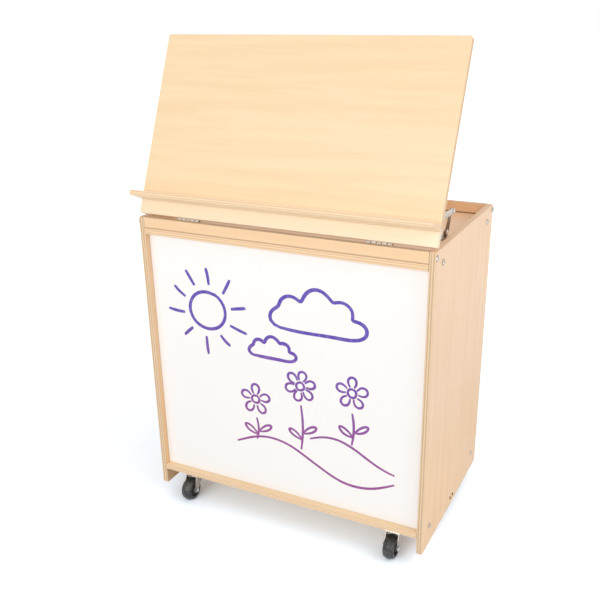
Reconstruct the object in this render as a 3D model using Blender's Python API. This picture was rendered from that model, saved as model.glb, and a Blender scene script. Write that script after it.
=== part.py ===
"""Big book display: a plywood cabinet on casters with a hinged display board.

The frame is +Z up in metres. The origin lies on the floor under the middle of the object,
+X runs to the right as a reader faces the white panel and +Y runs to the open back.
"""

import math
from typing import NamedTuple

import bmesh
import bpy
from mathutils import Matrix, Vector

MM = 0.001

# Fits
JOINT_GAP = 0.3 * MM
RUNNING_GAP = 0.4 * MM

# Cabinet
CABINET_WIDTH = 610.0 * MM
CABINET_DEPTH = 382.8 * MM
SIDE_HEIGHT = 612.0 * MM
PLY_THICKNESS = 12.0 * MM
BOTTOM_RISE = 36.3 * MM
TRAY_DEPTH = 22.0 * MM
MARKER_RECESS = 13.0 * MM
MARKER_THICKNESS = 9.0 * MM
DIVIDER_SETBACK = 15.0 * MM
DIVIDER_REAR_RADIUS = 18.0 * MM
SIDE_CORNER_RADIUS = 4.0 * MM
EDGE_EASE = 1.0 * MM

# Assembly bolts through the sides
BOLT_INSET = 42.4 * MM
BOLT_HEAD_RADIUS = 5.5 * MM
BOLT_HEAD_HEIGHT = 2.2 * MM
BOLT_SHANK_RADIUS = 3.0 * MM
BOLT_GRIP = 22.0 * MM

# Display board and its ledge
BOARD_LENGTH = 356.5 * MM
BOARD_THICKNESS = 12.0 * MM
BOARD_CORNER_RADIUS = 4.0 * MM
BOARD_LEAN = math.radians(23.5)
BOARD_STANDOFF = 2.0 * MM
LID_GAP = 0.4 * MM
LEDGE_RISE = 27.0 * MM
LEDGE_THICKNESS = 11.0 * MM
LEDGE_REACH = 41.0 * MM
LEDGE_NOSE_RADIUS = 3.0 * MM

# Butt hinges
HINGE_INSET = 107.5 * MM
HINGE_WIDTH = 50.0 * MM
HINGE_FLOOR_GAP = 3.0 * MM
LEAF_THICKNESS = 1.2 * MM
KNUCKLE_RADIUS = 3.2 * MM
KNUCKLE_COUNT = 5
PIN_CLEARANCE = 0.3 * MM
CURL_SLIT = math.radians(24.0)

# Folding stays
STAY_INSET = 23.0 * MM
STAY_FOOT_DEPTH = 164.4 * MM
STAY_FOOT_HEIGHT = 12.5 * MM
STAY_HEAD_RISE = 41.6 * MM
STAY_HEAD_OFFSET = 5.9 * MM
ARM_WIDTH = 11.0 * MM
LOWER_ARM_FOOT_RADIUS = 9.0 * MM
ARM_THICKNESS = 2.0 * MM
BRACKET_THICKNESS = 2.0 * MM
BRACKET_WIDTH = 30.0 * MM
BRACKET_FLANGE = 18.0 * MM
BRACKET_END_WIDTH = 13.0 * MM
BRACKET_END_MARGIN = 5.5 * MM
BRACKET_CHAMFER = 3.5 * MM
RIVET_RADIUS = 2.5 * MM
RIVET_HEAD_RADIUS = 4.2 * MM
RIVET_HEAD_HEIGHT = 1.4 * MM

# Casters
CASTER_HEIGHT = 68.5 * MM
CASTER_SIDE_INSET = 54.5 * MM
CASTER_END_INSET = 30.9 * MM
CASTER_TRAIL = 20.0 * MM
CASTER_PLATE = 48.0 * MM
CASTER_PLATE_THICKNESS = 2.0 * MM
CASTER_PLATE_RADIUS = 6.0 * MM
WHEEL_RADIUS = 25.4 * MM
WHEEL_WIDTH = 23.0 * MM
WHEEL_SHOULDER = 5.5 * MM
WHEEL_CROWN = 1.6 * MM
WHEEL_CLEARANCE = 4.5 * MM
TYRE_THICKNESS = 7.0 * MM
HUB_RIM = 2.5 * MM
HUB_BOSS_RADIUS = 7.5 * MM
HUB_WEB_THICKNESS = 9.0 * MM
FORK_SIDE_GAP = 1.0 * MM
FORK_THICKNESS = 2.0 * MM
FORK_TOP_LENGTH = 32.0 * MM
FORK_TOP_RADIUS = 4.0 * MM
FORK_BOSS_RADIUS = 6.5 * MM
RACE_RADIUS = 17.0 * MM
RACE_HEIGHT = 5.5 * MM
RACE_SLOPE = 3.0 * MM
KINGPIN_RADIUS = 5.0 * MM
AXLE_RADIUS = 3.0 * MM
NUT_RADIUS = 5.2 * MM
NUT_HEIGHT = 2.8 * MM

# Facets
WHEEL_SEGMENTS = 20
RACE_SEGMENTS = 16
SMALL_SEGMENTS = 10
BOLT_SEGMENTS = 8
NUT_SEGMENTS = 12
CORNER_SEGMENTS = 4
SHOULDER_SEGMENTS = 3
EASE_SEGMENTS = 2
SMOOTH_ANGLE = math.radians(35.0)

# Places that follow from the sizes above, in the cabinet's own frame
FRONT = -CABINET_DEPTH / 2
REAR = CABINET_DEPTH / 2
SIDE_INNER = CABINET_WIDTH / 2 - PLY_THICKNESS
INNER_WIDTH = 2 * (SIDE_INNER - JOINT_GAP)
BOLT_REACH = REAR - BOLT_INSET
HINGE_REACH = CABINET_WIDTH / 2 - HINGE_INSET
CASTER_REACH_X = SIDE_INNER - CASTER_SIDE_INSET
CASTER_REACH_Y = REAR - CASTER_END_INSET
SIDE_BOTTOM = CASTER_HEIGHT - BOTTOM_RISE
SIDE_TOP = SIDE_BOTTOM + SIDE_HEIGHT
BOTTOM_TOP = CASTER_HEIGHT + PLY_THICKNESS
TRAY_TOP = SIDE_TOP - TRAY_DEPTH
TRAY_UNDERSIDE = TRAY_TOP - PLY_THICKNESS
BORE_RADIUS = KNUCKLE_RADIUS - LEAF_THICKNESS
HINGE_SETBACK = KNUCKLE_RADIUS + JOINT_GAP
HINGE_Y = FRONT + PLY_THICKNESS + HINGE_SETBACK
HINGE_Z = SIDE_TOP + LID_GAP - BOARD_STANDOFF
LEAF_HEIGHT = HINGE_Z - TRAY_TOP - HINGE_FLOOR_GAP
BOARD_FOOT = KNUCKLE_RADIUS + RUNNING_GAP
BOARD_BACK = -BOARD_STANDOFF
BOARD_FRONT = BOARD_BACK - BOARD_THICKNESS
STAY_FOOT = Vector((0.0, FRONT + STAY_FOOT_DEPTH, TRAY_TOP + STAY_FOOT_HEIGHT))
HINGE_AXIS = Vector((0.0, HINGE_Y, HINGE_Z))
BOARD_TURN = Matrix.Rotation(-BOARD_LEAN, 4, "X")
STAY_HEAD = BOARD_TURN @ Vector((0.0, STAY_HEAD_OFFSET, STAY_HEAD_RISE))
FORK_CROWN_UNDERSIDE = 2 * WHEEL_RADIUS + WHEEL_CLEARANCE
FORK_CROWN_TOP = FORK_CROWN_UNDERSIDE + FORK_THICKNESS
FORK_INNER_WIDTH = WHEEL_WIDTH + 2 * FORK_SIDE_GAP
FORK_OUTER_WIDTH = FORK_INNER_WIDTH + 2 * FORK_THICKNESS
PLATE_TOP = CASTER_HEIGHT - JOINT_GAP
PLATE_UNDERSIDE = PLATE_TOP - CASTER_PLATE_THICKNESS


class Look(NamedTuple):
    """Colour, roughness and metallic value of a surface."""

    colour: tuple
    roughness: float
    metallic: float


PLYWOOD = Look((0.84, 0.66, 0.45), 0.45, 0.0)
LAMINATE = Look((0.93, 0.92, 0.90), 0.18, 0.0)
ZINC = Look((0.72, 0.71, 0.69), 0.28, 1.0)
STEEL = Look((0.60, 0.60, 0.60), 0.32, 1.0)
RUBBER = Look((0.025, 0.025, 0.028), 0.65, 0.0)
PLASTIC = Look((0.10, 0.10, 0.105), 0.50, 0.0)


def clear_scene():
    """Start from an empty scene."""
    for item in list(bpy.data.objects):
        bpy.data.objects.remove(item, do_unlink=True)


def make_material(name, look):
    """Return a plain surface of the given look."""
    material = bpy.data.materials.new(name)
    material.use_nodes = True
    shader = material.node_tree.nodes["Principled BSDF"]
    shader.inputs["Base Color"].default_value = (*look.colour, 1.0)
    shader.inputs["Roughness"].default_value = look.roughness
    shader.inputs["Metallic"].default_value = look.metallic
    return material


def make_empty(name, parent, location, rotation=(0.0, 0.0, 0.0)):
    """Return a reference frame for the pieces that it carries."""
    empty = bpy.data.objects.new(name, None)
    bpy.context.scene.collection.objects.link(empty)
    empty.parent = parent
    empty.location = location
    empty.rotation_euler = rotation
    return empty


def make_piece(name, body, look, parent, location=(0.0, 0.0, 0.0), rotation=(0.0, 0.0, 0.0)):
    """Turn a closed bmesh into a named object under its parent."""
    bmesh.ops.recalc_face_normals(body, faces=body.faces)
    mesh = bpy.data.meshes.new(name)
    body.to_mesh(mesh)
    body.free()
    mesh.shade_smooth()
    mesh.set_sharp_from_angle(angle=SMOOTH_ANGLE)
    mesh.materials.append(make_material(name, look))
    piece = bpy.data.objects.new(name, mesh)
    bpy.context.scene.collection.objects.link(piece)
    piece.parent = parent
    piece.location = location
    piece.rotation_euler = rotation
    return piece


def ease_edges(piece, width):
    """Break the sharp edges of a piece."""
    bevel = piece.modifiers.new("eased_edges", "BEVEL")
    bevel.width = width
    bevel.segments = EASE_SEGMENTS
    bevel.limit_method = "ANGLE"
    bevel.angle_limit = math.radians(40.0)


def cut(piece, body, operation="DIFFERENCE"):
    """Combine a piece with a guide body given in the piece's own frame."""
    bmesh.ops.recalc_face_normals(body, faces=body.faces)
    mesh = bpy.data.meshes.new(piece.name + "_guide")
    body.to_mesh(mesh)
    body.free()
    guide = bpy.data.objects.new(piece.name + "_guide", mesh)
    bpy.context.scene.collection.objects.link(guide)
    guide.parent = piece
    guide.hide_render = True
    guide.display_type = "WIRE"
    boolean = piece.modifiers.new("cut", "BOOLEAN")
    boolean.operation = operation
    boolean.solver = "EXACT"
    boolean.object = guide


def arc(centre, radius, start, end, segments):
    """Return points along an arc, both ends included."""
    points = []
    for step in range(segments + 1):
        angle = start + (end - start) * step / segments
        points.append((centre[0] + radius * math.cos(angle), centre[1] + radius * math.sin(angle)))
    return points


def rounded_outline(low, high, radii):
    """Return a rectangle's outline with a radius at each corner, from low-low anticlockwise."""
    corners = [(low[0], low[1]), (high[0], low[1]), (high[0], high[1]), (low[0], high[1])]
    inward = [(1, 1), (-1, 1), (-1, -1), (1, -1)]
    points = []
    for index, (corner, turn, radius) in enumerate(zip(corners, inward, radii)):
        if radius <= 0:
            points.append(corner)
            continue
        centre = (corner[0] + turn[0] * radius, corner[1] + turn[1] * radius)
        start = math.pi + index * math.pi / 2
        points += arc(centre, radius, start, start + math.pi / 2, CORNER_SEGMENTS)
    return points


def add_prism(body, outline, low, high, lift):
    """Extrude an outline from low to high; lift places (u, v, w) in the piece's frame."""
    ring = [body.verts.new(lift(u, v, low)) for u, v in outline]
    face = body.faces.new(ring)
    grown = bmesh.ops.extrude_face_region(body, geom=[face])
    tips = [item for item in grown["geom"] if isinstance(item, bmesh.types.BMVert)]
    shift = Vector(lift(0.0, 0.0, high)) - Vector(lift(0.0, 0.0, low))
    bmesh.ops.translate(body, verts=tips, vec=shift)
    return tips


def along_x(u, v, w):
    """Outline in the YZ plane, extruded along X."""
    return (w, u, v)


def along_y(u, v, w):
    """Outline in the XZ plane, extruded along Y."""
    return (u, w, v)


def along_z(u, v, w):
    """Outline in the XY plane, extruded along Z."""
    return (u, v, w)


def add_turned(body, profile, centre, axis, segments, closed=False):
    """Turn a profile of (radius, height) points about an axis through the centre.

    A closed profile gives a ring; an open one starts and ends on the axis.
    """
    turn = Vector((0.0, 0.0, 1.0)).rotation_difference(Vector(axis)).to_matrix().to_4x4()
    place = Matrix.Translation(Vector(centre)) @ turn
    verts = [body.verts.new(place @ Vector((radius, 0.0, height))) for radius, height in profile]
    pairs = list(zip(verts, verts[1:]))
    if closed:
        pairs.append((verts[-1], verts[0]))
    edges = [body.edges.new(pair) for pair in pairs]
    bmesh.ops.spin(
        body, geom=verts + edges, cent=centre, axis=axis, angle=2 * math.pi, steps=segments,
        use_merge=True,
    )
    bmesh.ops.remove_doubles(body, verts=body.verts, dist=0.001 * MM)


def box_outline(width, height):
    """Return the outline of a rectangle about its own centre."""
    return [(-width / 2, -height / 2), (width / 2, -height / 2),
            (width / 2, height / 2), (-width / 2, height / 2)]


def rod_profile(radius, length):
    """Return the profile of a plain round rod that starts at its lower end."""
    return [(0.0, length), (radius, length), (radius, 0.0), (0.0, 0.0)]


def bolt_places():
    """Return (y, z) of each assembly bolt on a side panel."""
    rail_height = TRAY_TOP + TRAY_DEPTH / 2
    floor_height = TRAY_TOP - PLY_THICKNESS / 2
    bottom_height = CASTER_HEIGHT + PLY_THICKNESS / 2
    places = [(FRONT + PLY_THICKNESS / 2, rail_height), (REAR - PLY_THICKNESS / 2, rail_height)]
    for sign in (-1, 1):
        places.append((sign * BOLT_REACH, floor_height))
        places.append((sign * BOLT_REACH, bottom_height))
    return places


def drill_bolt_holes(piece, places):
    """Bore the bolt holes from both sides into a piece that is modelled in place."""
    body = bmesh.new()
    depth = BOLT_GRIP + PLY_THICKNESS + 2 * JOINT_GAP
    for side in (-1, 1):
        for y, z in places:
            start = (side * (CABINET_WIDTH / 2 + PLY_THICKNESS), y, z)
            length = depth + PLY_THICKNESS
            profile = rod_profile(BOLT_SHANK_RADIUS + JOINT_GAP, length)
            add_turned(body, profile, start, (-side, 0.0, 0.0), BOLT_SEGMENTS)
    cut(piece, body)


def build_side_panel(root, name, side):
    """Build one full-height side panel, with its bolt holes."""
    body = bmesh.new()
    outline = rounded_outline((FRONT, SIDE_BOTTOM), (REAR, SIDE_TOP), [SIDE_CORNER_RADIUS] * 4)
    outer = side * CABINET_WIDTH / 2
    add_prism(body, outline, outer, outer - side * PLY_THICKNESS, along_x)
    panel = make_piece(name, body, PLYWOOD, root)
    ease_edges(panel, EDGE_EASE)
    drill_bolt_holes(panel, bolt_places())


def build_cross_panel(root, name, low, high, places):
    """Build a panel that spans between the sides, with bolt holes in its ends."""
    body = bmesh.new()
    add_prism(body, rounded_outline(low, high, [0.0] * 4), -INNER_WIDTH / 2, INNER_WIDTH / 2, along_x)
    panel = make_piece(name, body, PLYWOOD, root)
    ease_edges(panel, EDGE_EASE / 2)
    drill_bolt_holes(panel, places)


def build_cross_panels(root):
    """Build the bottom, the tray floor and the two tray rails."""
    rail_low = TRAY_TOP + JOINT_GAP
    places = bolt_places()
    front, rear, floor, bottom = places[:1], places[1:2], places[2::2], places[3::2]
    build_cross_panel(root, "bottom_panel", (FRONT, CASTER_HEIGHT), (REAR, BOTTOM_TOP), bottom)
    build_cross_panel(root, "tray_floor", (FRONT, TRAY_UNDERSIDE), (REAR, TRAY_TOP), floor)
    build_cross_panel(root, "front_rail", (FRONT, rail_low), (FRONT + PLY_THICKNESS, SIDE_TOP), front)
    build_cross_panel(root, "rear_rail", (REAR - PLY_THICKNESS, rail_low), (REAR, SIDE_TOP), rear)


def build_marker_panel(root):
    """Build the white front panel, set back between the sides."""
    body = bmesh.new()
    low = BOTTOM_TOP + JOINT_GAP
    high = TRAY_UNDERSIDE - JOINT_GAP
    front = FRONT + MARKER_RECESS
    outline = [(front, low), (front + MARKER_THICKNESS, low), (front + MARKER_THICKNESS, high), (front, high)]
    add_prism(body, outline, -INNER_WIDTH / 2, INNER_WIDTH / 2, along_x)
    make_piece("marker_panel", body, LAMINATE, root)


def build_divider(root):
    """Build the upright divider of the rear storage, rounded at its rear corners."""
    body = bmesh.new()
    low = (FRONT + MARKER_RECESS + MARKER_THICKNESS + JOINT_GAP, BOTTOM_TOP + JOINT_GAP)
    high = (REAR - DIVIDER_SETBACK, TRAY_UNDERSIDE - JOINT_GAP)
    radii = [0.0, DIVIDER_REAR_RADIUS, DIVIDER_REAR_RADIUS, 0.0]
    add_prism(body, rounded_outline(low, high, radii), -PLY_THICKNESS / 2, PLY_THICKNESS / 2, along_x)
    divider = make_piece("centre_divider", body, PLYWOOD, root)
    ease_edges(divider, EDGE_EASE)


def bolt_profile():
    """Return the profile of a domed bolt with its seat at height zero and its shank below."""
    flank = BOLT_HEAD_HEIGHT / 4
    tip = -BOLT_GRIP - PLY_THICKNESS
    dome = arc((0.0, flank), 1.0, math.pi / 2, 0.0, SHOULDER_SEGMENTS)
    profile = [(BOLT_HEAD_RADIUS * u, flank + (BOLT_HEAD_HEIGHT - flank) * (v - flank)) for u, v in dome]
    return profile + [(BOLT_HEAD_RADIUS, 0.0), (BOLT_SHANK_RADIUS, 0.0), (BOLT_SHANK_RADIUS, tip), (0.0, tip)]


def build_assembly_bolts(root, side_name, side):
    """Build the bolts that hold the cross panels to one side."""
    seat = side * (CABINET_WIDTH / 2 + JOINT_GAP)
    for number, (y, z) in enumerate(bolt_places(), start=1):
        body = bmesh.new()
        add_turned(body, bolt_profile(), (0.0, 0.0, 0.0), (side, 0.0, 0.0), BOLT_SEGMENTS)
        make_piece(f"assembly_bolt_{side_name}_{number}", body, ZINC, root, (seat, y, z))


def build_display_board(tilt):
    """Build the display board, rounded at its upper corners, in the tilting frame."""
    body = bmesh.new()
    low = (-CABINET_WIDTH / 2, BOARD_FOOT)
    high = (CABINET_WIDTH / 2, BOARD_FOOT + BOARD_LENGTH)
    radii = [EDGE_EASE, EDGE_EASE, BOARD_CORNER_RADIUS, BOARD_CORNER_RADIUS]
    add_prism(body, rounded_outline(low, high, radii), BOARD_FRONT, BOARD_BACK, along_y)
    board = make_piece("display_board", body, PLYWOOD, tilt)
    ease_edges(board, EDGE_EASE)


def build_book_ledge(tilt):
    """Build the ledge that stands square off the board, with a rounded nose."""
    body = bmesh.new()
    back = BOARD_FRONT - JOINT_GAP
    low = (back - LEDGE_REACH, BOARD_FOOT + LEDGE_RISE)
    high = (back, BOARD_FOOT + LEDGE_RISE + LEDGE_THICKNESS)
    radii = [LEDGE_NOSE_RADIUS, 0.0, 0.0, LEDGE_NOSE_RADIUS]
    add_prism(body, rounded_outline(low, high, radii), -CABINET_WIDTH / 2, CABINET_WIDTH / 2, along_x)
    ledge = make_piece("book_ledge", body, PLYWOOD, tilt)
    ease_edges(ledge, EDGE_EASE / 2)


def curl_outline(plate_face, neck):
    """Return the outline of a rolled knuckle with the neck of its leaf.

    u points away from the wood and v along the leaf. plate_face is u of the leaf's seat and
    neck is the v at which the knuckle meets the leaf.
    """
    inner_face = plate_face + LEAF_THICKNESS
    start = math.atan2(math.sqrt(max(KNUCKLE_RADIUS ** 2 - plate_face ** 2, 0.0)), plate_face)
    end = math.atan2(math.sqrt(KNUCKLE_RADIUS ** 2 - inner_face ** 2), inner_face) + 2 * math.pi
    slit_low = end - 2 * CURL_SLIT
    slit_high = end - CURL_SLIT
    outline = [(plate_face, neck)]
    outline += arc((0.0, 0.0), KNUCKLE_RADIUS, start, slit_low, SMALL_SEGMENTS)
    outline += arc((0.0, 0.0), BORE_RADIUS, slit_low, slit_high - 2 * math.pi, SMALL_SEGMENTS)
    outline += arc((0.0, 0.0), KNUCKLE_RADIUS, slit_high, end, 2)
    outline.append((inner_face, neck))
    return outline


def add_strip(body, low_ring, high_ring, skip=()):
    """Join two rings of vertices with quads, leaving out the sides whose index is in skip."""
    count = len(low_ring)
    for index in range(count):
        if index in skip:
            continue
        after = (index + 1) % count
        body.faces.new((low_ring[index], low_ring[after], high_ring[after], high_ring[index]))


def add_hinge_leaf(body, plate_face, first, lift):
    """Add a leaf with every second knuckle from the first one, about its own axis."""
    neck = KNUCKLE_RADIUS + RUNNING_GAP
    inner_face = plate_face + LEAF_THICKNESS
    plate = [(inner_face, neck), (plate_face, neck), (plate_face, LEAF_HEIGHT), (inner_face, LEAF_HEIGHT)]
    pitch = HINGE_WIDTH / KNUCKLE_COUNT
    stations = {0.0, HINGE_WIDTH}
    spans = []
    for index in range(first, KNUCKLE_COUNT, 2):
        low = index * pitch + (RUNNING_GAP / 2 if index > 0 else 0.0)
        high = (index + 1) * pitch - (RUNNING_GAP / 2 if index < KNUCKLE_COUNT - 1 else 0.0)
        spans.append((low, high))
        stations.update((low, high))
    stations = sorted(stations)
    rings = {}
    for x in stations:
        rings[x] = [body.verts.new(lift(u, v, x - HINGE_WIDTH / 2)) for u, v in plate]
    for low, high in zip(stations, stations[1:]):
        knuckle = (low, high) in spans
        add_strip(body, rings[low], rings[high], skip=(0,) if knuckle else ())
    body.faces.new(rings[stations[0]])
    body.faces.new(reversed(rings[stations[-1]]))
    for low, high in spans:
        add_knuckle(body, plate_face, neck, (low, rings[low]), (high, rings[high]), lift)


def add_knuckle(body, plate_face, neck, low, high, lift):
    """Add one rolled knuckle on the leaf's end between two stations."""
    loops = []
    for x, ring in (low, high):
        points = curl_outline(plate_face, neck)[1:-1]
        inner = [body.verts.new(lift(u, v, x - HINGE_WIDTH / 2)) for u, v in points]
        loops.append([ring[1]] + inner + [ring[0]])
    add_strip(body, loops[0], loops[1], skip=(len(loops[0]) - 1,))
    body.faces.new(loops[0])
    body.faces.new(reversed(loops[1]))


def rail_leaf_lift(u, v, w):
    """Leaf that hangs down the inner face of the front rail."""
    return (w, u, -v)


def board_leaf_lift(u, v, w):
    """Leaf that runs up the back of the board."""
    return (w, u, v)


def build_hinge(root, tilt, side_name, side):
    """Build one butt hinge: two leaves and the pin that joins them."""
    x = side * HINGE_REACH
    rail_leaf = bmesh.new()
    add_hinge_leaf(rail_leaf, JOINT_GAP - HINGE_SETBACK, 0, rail_leaf_lift)
    make_piece("hinge_rail_leaf_" + side_name, rail_leaf, ZINC, root, (x, HINGE_Y, HINGE_Z))
    board_leaf = bmesh.new()
    add_hinge_leaf(board_leaf, JOINT_GAP - BOARD_STANDOFF, 1, board_leaf_lift)
    make_piece("hinge_board_leaf_" + side_name, board_leaf, ZINC, tilt, (x, 0.0, 0.0))
    pin = bmesh.new()
    profile = rod_profile(BORE_RADIUS - PIN_CLEARANCE, HINGE_WIDTH)
    add_turned(pin, profile, (-HINGE_WIDTH / 2, 0.0, 0.0), (1.0, 0.0, 0.0), SMALL_SEGMENTS)
    make_piece("hinge_pin_" + side_name, pin, STEEL, root, (x, HINGE_Y, HINGE_Z))


def bracket_body(side, height, tab_x):
    """Return an angle bracket whose flange lies on z = 0 and whose tab stands at tab_x.

    The flange points to the middle of the cabinet, and the tab tapers to its pivot.
    """
    body = bmesh.new()
    reach = height + BRACKET_END_MARGIN
    inner_bend = BRACKET_THICKNESS / 2
    outer_bend = inner_bend + BRACKET_THICKNESS
    outer = tab_x + BRACKET_THICKNESS / 2
    inner = tab_x - BRACKET_THICKNESS / 2
    flange_end = outer - BRACKET_FLANGE
    profile = [(flange_end, BRACKET_THICKNESS), (flange_end, 0.0)]
    centre = (outer - outer_bend, outer_bend)
    profile += arc(centre, outer_bend, -math.pi / 2, 0.0, CORNER_SEGMENTS)
    profile += [(outer, reach), (inner, reach)]
    profile += arc(centre, inner_bend, 0.0, -math.pi / 2, CORNER_SEGMENTS)
    outline = [(side * u, v) for u, v in profile]
    add_prism(body, outline, -BRACKET_WIDTH / 2, BRACKET_WIDTH / 2, along_y)
    tips = [vert for vert in body.verts if vert.co.z > reach - BRACKET_THICKNESS / 2]
    for vert in tips:
        vert.co.y = math.copysign(BRACKET_END_WIDTH / 2, vert.co.y)
    ends = [edge for edge in body.edges
            if all(vert in tips for vert in edge.verts) and abs(edge.verts[0].co.y - edge.verts[1].co.y) < MM]
    bmesh.ops.bevel(body, geom=ends, offset=BRACKET_CHAMFER, segments=CORNER_SEGMENTS, profile=0.5,
                    affect="EDGES")
    return body


def drill_pivot(piece, centre):
    """Bore a rivet's hole along X through a piece."""
    body = bmesh.new()
    half = ARM_WIDTH
    start = (centre[0] - half, centre[1], centre[2])
    add_turned(body, rod_profile(RIVET_RADIUS + RUNNING_GAP, 2 * half), start, (1.0, 0.0, 0.0), SMALL_SEGMENTS)
    cut(piece, body)


class StayLayers(NamedTuple):
    """Middle X of each flat layer of a stay, from the middle of the cabinet outwards."""

    foot_tab: float
    lower_arm: float
    head_tab: float
    upper_arm: float


def stay_layers(side):
    """Place the layers so that the upper arm folds past the head of the foot's stud."""
    pitch = BRACKET_THICKNESS / 2 + RUNNING_GAP + ARM_THICKNESS / 2
    foot_tab = SIDE_INNER - STAY_INSET
    lower_arm = foot_tab + pitch
    upper_arm = lower_arm + ARM_THICKNESS + RIVET_HEAD_HEIGHT + 2 * RUNNING_GAP
    return StayLayers(side * foot_tab, side * lower_arm, side * (upper_arm - pitch), side * upper_arm)


def rivet_profile(low, high):
    """Return the profile of a rivet whose two heads seat on the planes at low and high."""
    crown = 0.6 * RIVET_HEAD_RADIUS
    flank = RIVET_HEAD_HEIGHT / 3
    upper = [(0.0, high + RIVET_HEAD_HEIGHT), (crown, high + RIVET_HEAD_HEIGHT),
             (RIVET_HEAD_RADIUS, high + flank), (RIVET_HEAD_RADIUS, high), (RIVET_RADIUS, high)]
    lower = [(RIVET_RADIUS, low), (RIVET_HEAD_RADIUS, low), (RIVET_HEAD_RADIUS, low - flank),
             (crown, low - RIVET_HEAD_HEIGHT), (0.0, low - RIVET_HEAD_HEIGHT)]
    return upper, lower


def stud_body(side, tab, arm, height):
    """Return the stud set in a bracket's tab, with a head outside the arm that turns on it."""
    body = bmesh.new()
    root_seat = tab - side * BRACKET_THICKNESS / 4
    head_seat = arm + side * (ARM_THICKNESS / 2 + RUNNING_GAP)
    upper, lower = rivet_profile(min(root_seat, head_seat), max(root_seat, head_seat))
    add_turned(body, upper + lower, (0.0, 0.0, height), (1.0, 0.0, 0.0), SMALL_SEGMENTS)
    return body


def elbow_rivet_body(layers):
    """Return the elbow's rivet, with the collar that spaces the two arms."""
    body = bmesh.new()
    margin = ARM_THICKNESS / 2 + RUNNING_GAP
    near = min(layers.lower_arm, layers.upper_arm)
    far = max(layers.lower_arm, layers.upper_arm)
    upper, lower = rivet_profile(near - margin, far + margin)
    collar = [(RIVET_RADIUS, far - margin), (RIVET_HEAD_RADIUS, far - margin),
              (RIVET_HEAD_RADIUS, near + margin), (RIVET_RADIUS, near + margin)]
    add_turned(body, upper + collar + lower, (0.0, 0.0, 0.0), (1.0, 0.0, 0.0), SMALL_SEGMENTS)
    return body


def build_foot_bracket(root, side_name, side):
    """Build the bracket on the tray floor, with the stud that carries the lower arm."""
    layers = stay_layers(side)
    height = STAY_FOOT_HEIGHT - JOINT_GAP
    body = bracket_body(side, height, abs(layers.foot_tab))
    place = (0.0, STAY_FOOT.y, TRAY_TOP + JOINT_GAP)
    bracket = make_piece("stay_foot_" + side_name, body, ZINC, root, place)
    cut(bracket, stud_body(side, layers.foot_tab, layers.lower_arm, height), "UNION")


def build_head_bracket(tilt, side_name, side):
    """Build the bracket on the board's back, with the stud that carries the upper arm."""
    layers = stay_layers(side)
    height = STAY_HEAD_OFFSET + BOARD_STANDOFF - JOINT_GAP
    body = bracket_body(side, height, abs(layers.head_tab))
    place = (0.0, BOARD_BACK + JOINT_GAP, STAY_HEAD_RISE)
    bracket = make_piece("stay_head_" + side_name, body, ZINC, tilt, place, (-math.pi / 2, 0.0, 0.0))
    cut(bracket, stud_body(side, layers.head_tab, layers.upper_arm, height), "UNION")


def arm_body(length, x, foot_radius):
    """Return a flat bar along +Y with round ends, from its pivot at the origin."""
    body = bmesh.new()
    tip_radius = ARM_WIDTH / 2
    touch = math.acos((foot_radius - tip_radius) / length)
    outline = arc((0.0, 0.0), foot_radius, touch, 2 * math.pi - touch, 2 * CORNER_SEGMENTS)
    outline += arc((length, 0.0), tip_radius, -touch, touch, 2 * CORNER_SEGMENTS)
    add_prism(body, outline, x - ARM_THICKNESS / 2, x + ARM_THICKNESS / 2, along_x)
    return body


def build_arm(root, name, x, pivot, tip, foot_radius):
    """Build one arm of a stay from its own pivot to the elbow."""
    reach = tip - pivot
    turn = math.atan2(reach.z, reach.y)
    body = arm_body(reach.length, x, foot_radius)
    arm = make_piece(name, body, ZINC, root, (0.0, pivot.y, pivot.z), (turn, 0.0, 0.0))
    drill_pivot(arm, (x, 0.0, 0.0))
    drill_pivot(arm, (x, reach.length, 0.0))


def build_stay(root, tilt, side_name, side):
    """Build one folding stay: two brackets, two arms that form a parallelogram, and its elbow rivet."""
    layers = stay_layers(side)
    elbow = STAY_FOOT + STAY_HEAD
    build_foot_bracket(root, side_name, side)
    build_head_bracket(tilt, side_name, side)
    build_arm(root, "stay_lower_arm_" + side_name, layers.lower_arm, STAY_FOOT, elbow, LOWER_ARM_FOOT_RADIUS)
    build_arm(root, "stay_upper_arm_" + side_name, layers.upper_arm, HINGE_AXIS + STAY_HEAD, elbow, ARM_WIDTH / 2)
    rivet = elbow_rivet_body(layers)
    make_piece("stay_elbow_rivet_" + side_name, rivet, STEEL, root, (0.0, elbow.y, elbow.z))


def build_caster_plate(swivel, name):
    """Build the top plate with its upper race and king pin."""
    body = bmesh.new()
    half = CASTER_PLATE / 2
    outline = rounded_outline((-half, -half), (half, half), [CASTER_PLATE_RADIUS] * 4)
    add_prism(body, outline, PLATE_UNDERSIDE, PLATE_TOP, along_z)
    plate = make_piece("caster_plate_" + name, body, ZINC, swivel)
    race = bmesh.new()
    low = FORK_CROWN_TOP + RACE_HEIGHT + RUNNING_GAP
    sink = PLATE_UNDERSIDE + CASTER_PLATE_THICKNESS / 2
    profile = [(0.0, sink), (RACE_RADIUS - RACE_SLOPE, sink), (RACE_RADIUS - RACE_SLOPE, PLATE_UNDERSIDE),
               (RACE_RADIUS, low + FORK_THICKNESS), (RACE_RADIUS, low), (KINGPIN_RADIUS, low),
               (KINGPIN_RADIUS, FORK_CROWN_UNDERSIDE), (0.0, FORK_CROWN_UNDERSIDE)]
    add_turned(race, profile, (0.0, 0.0, 0.0), (0.0, 0.0, 1.0), RACE_SEGMENTS)
    cut(plate, race, "UNION")


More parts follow.
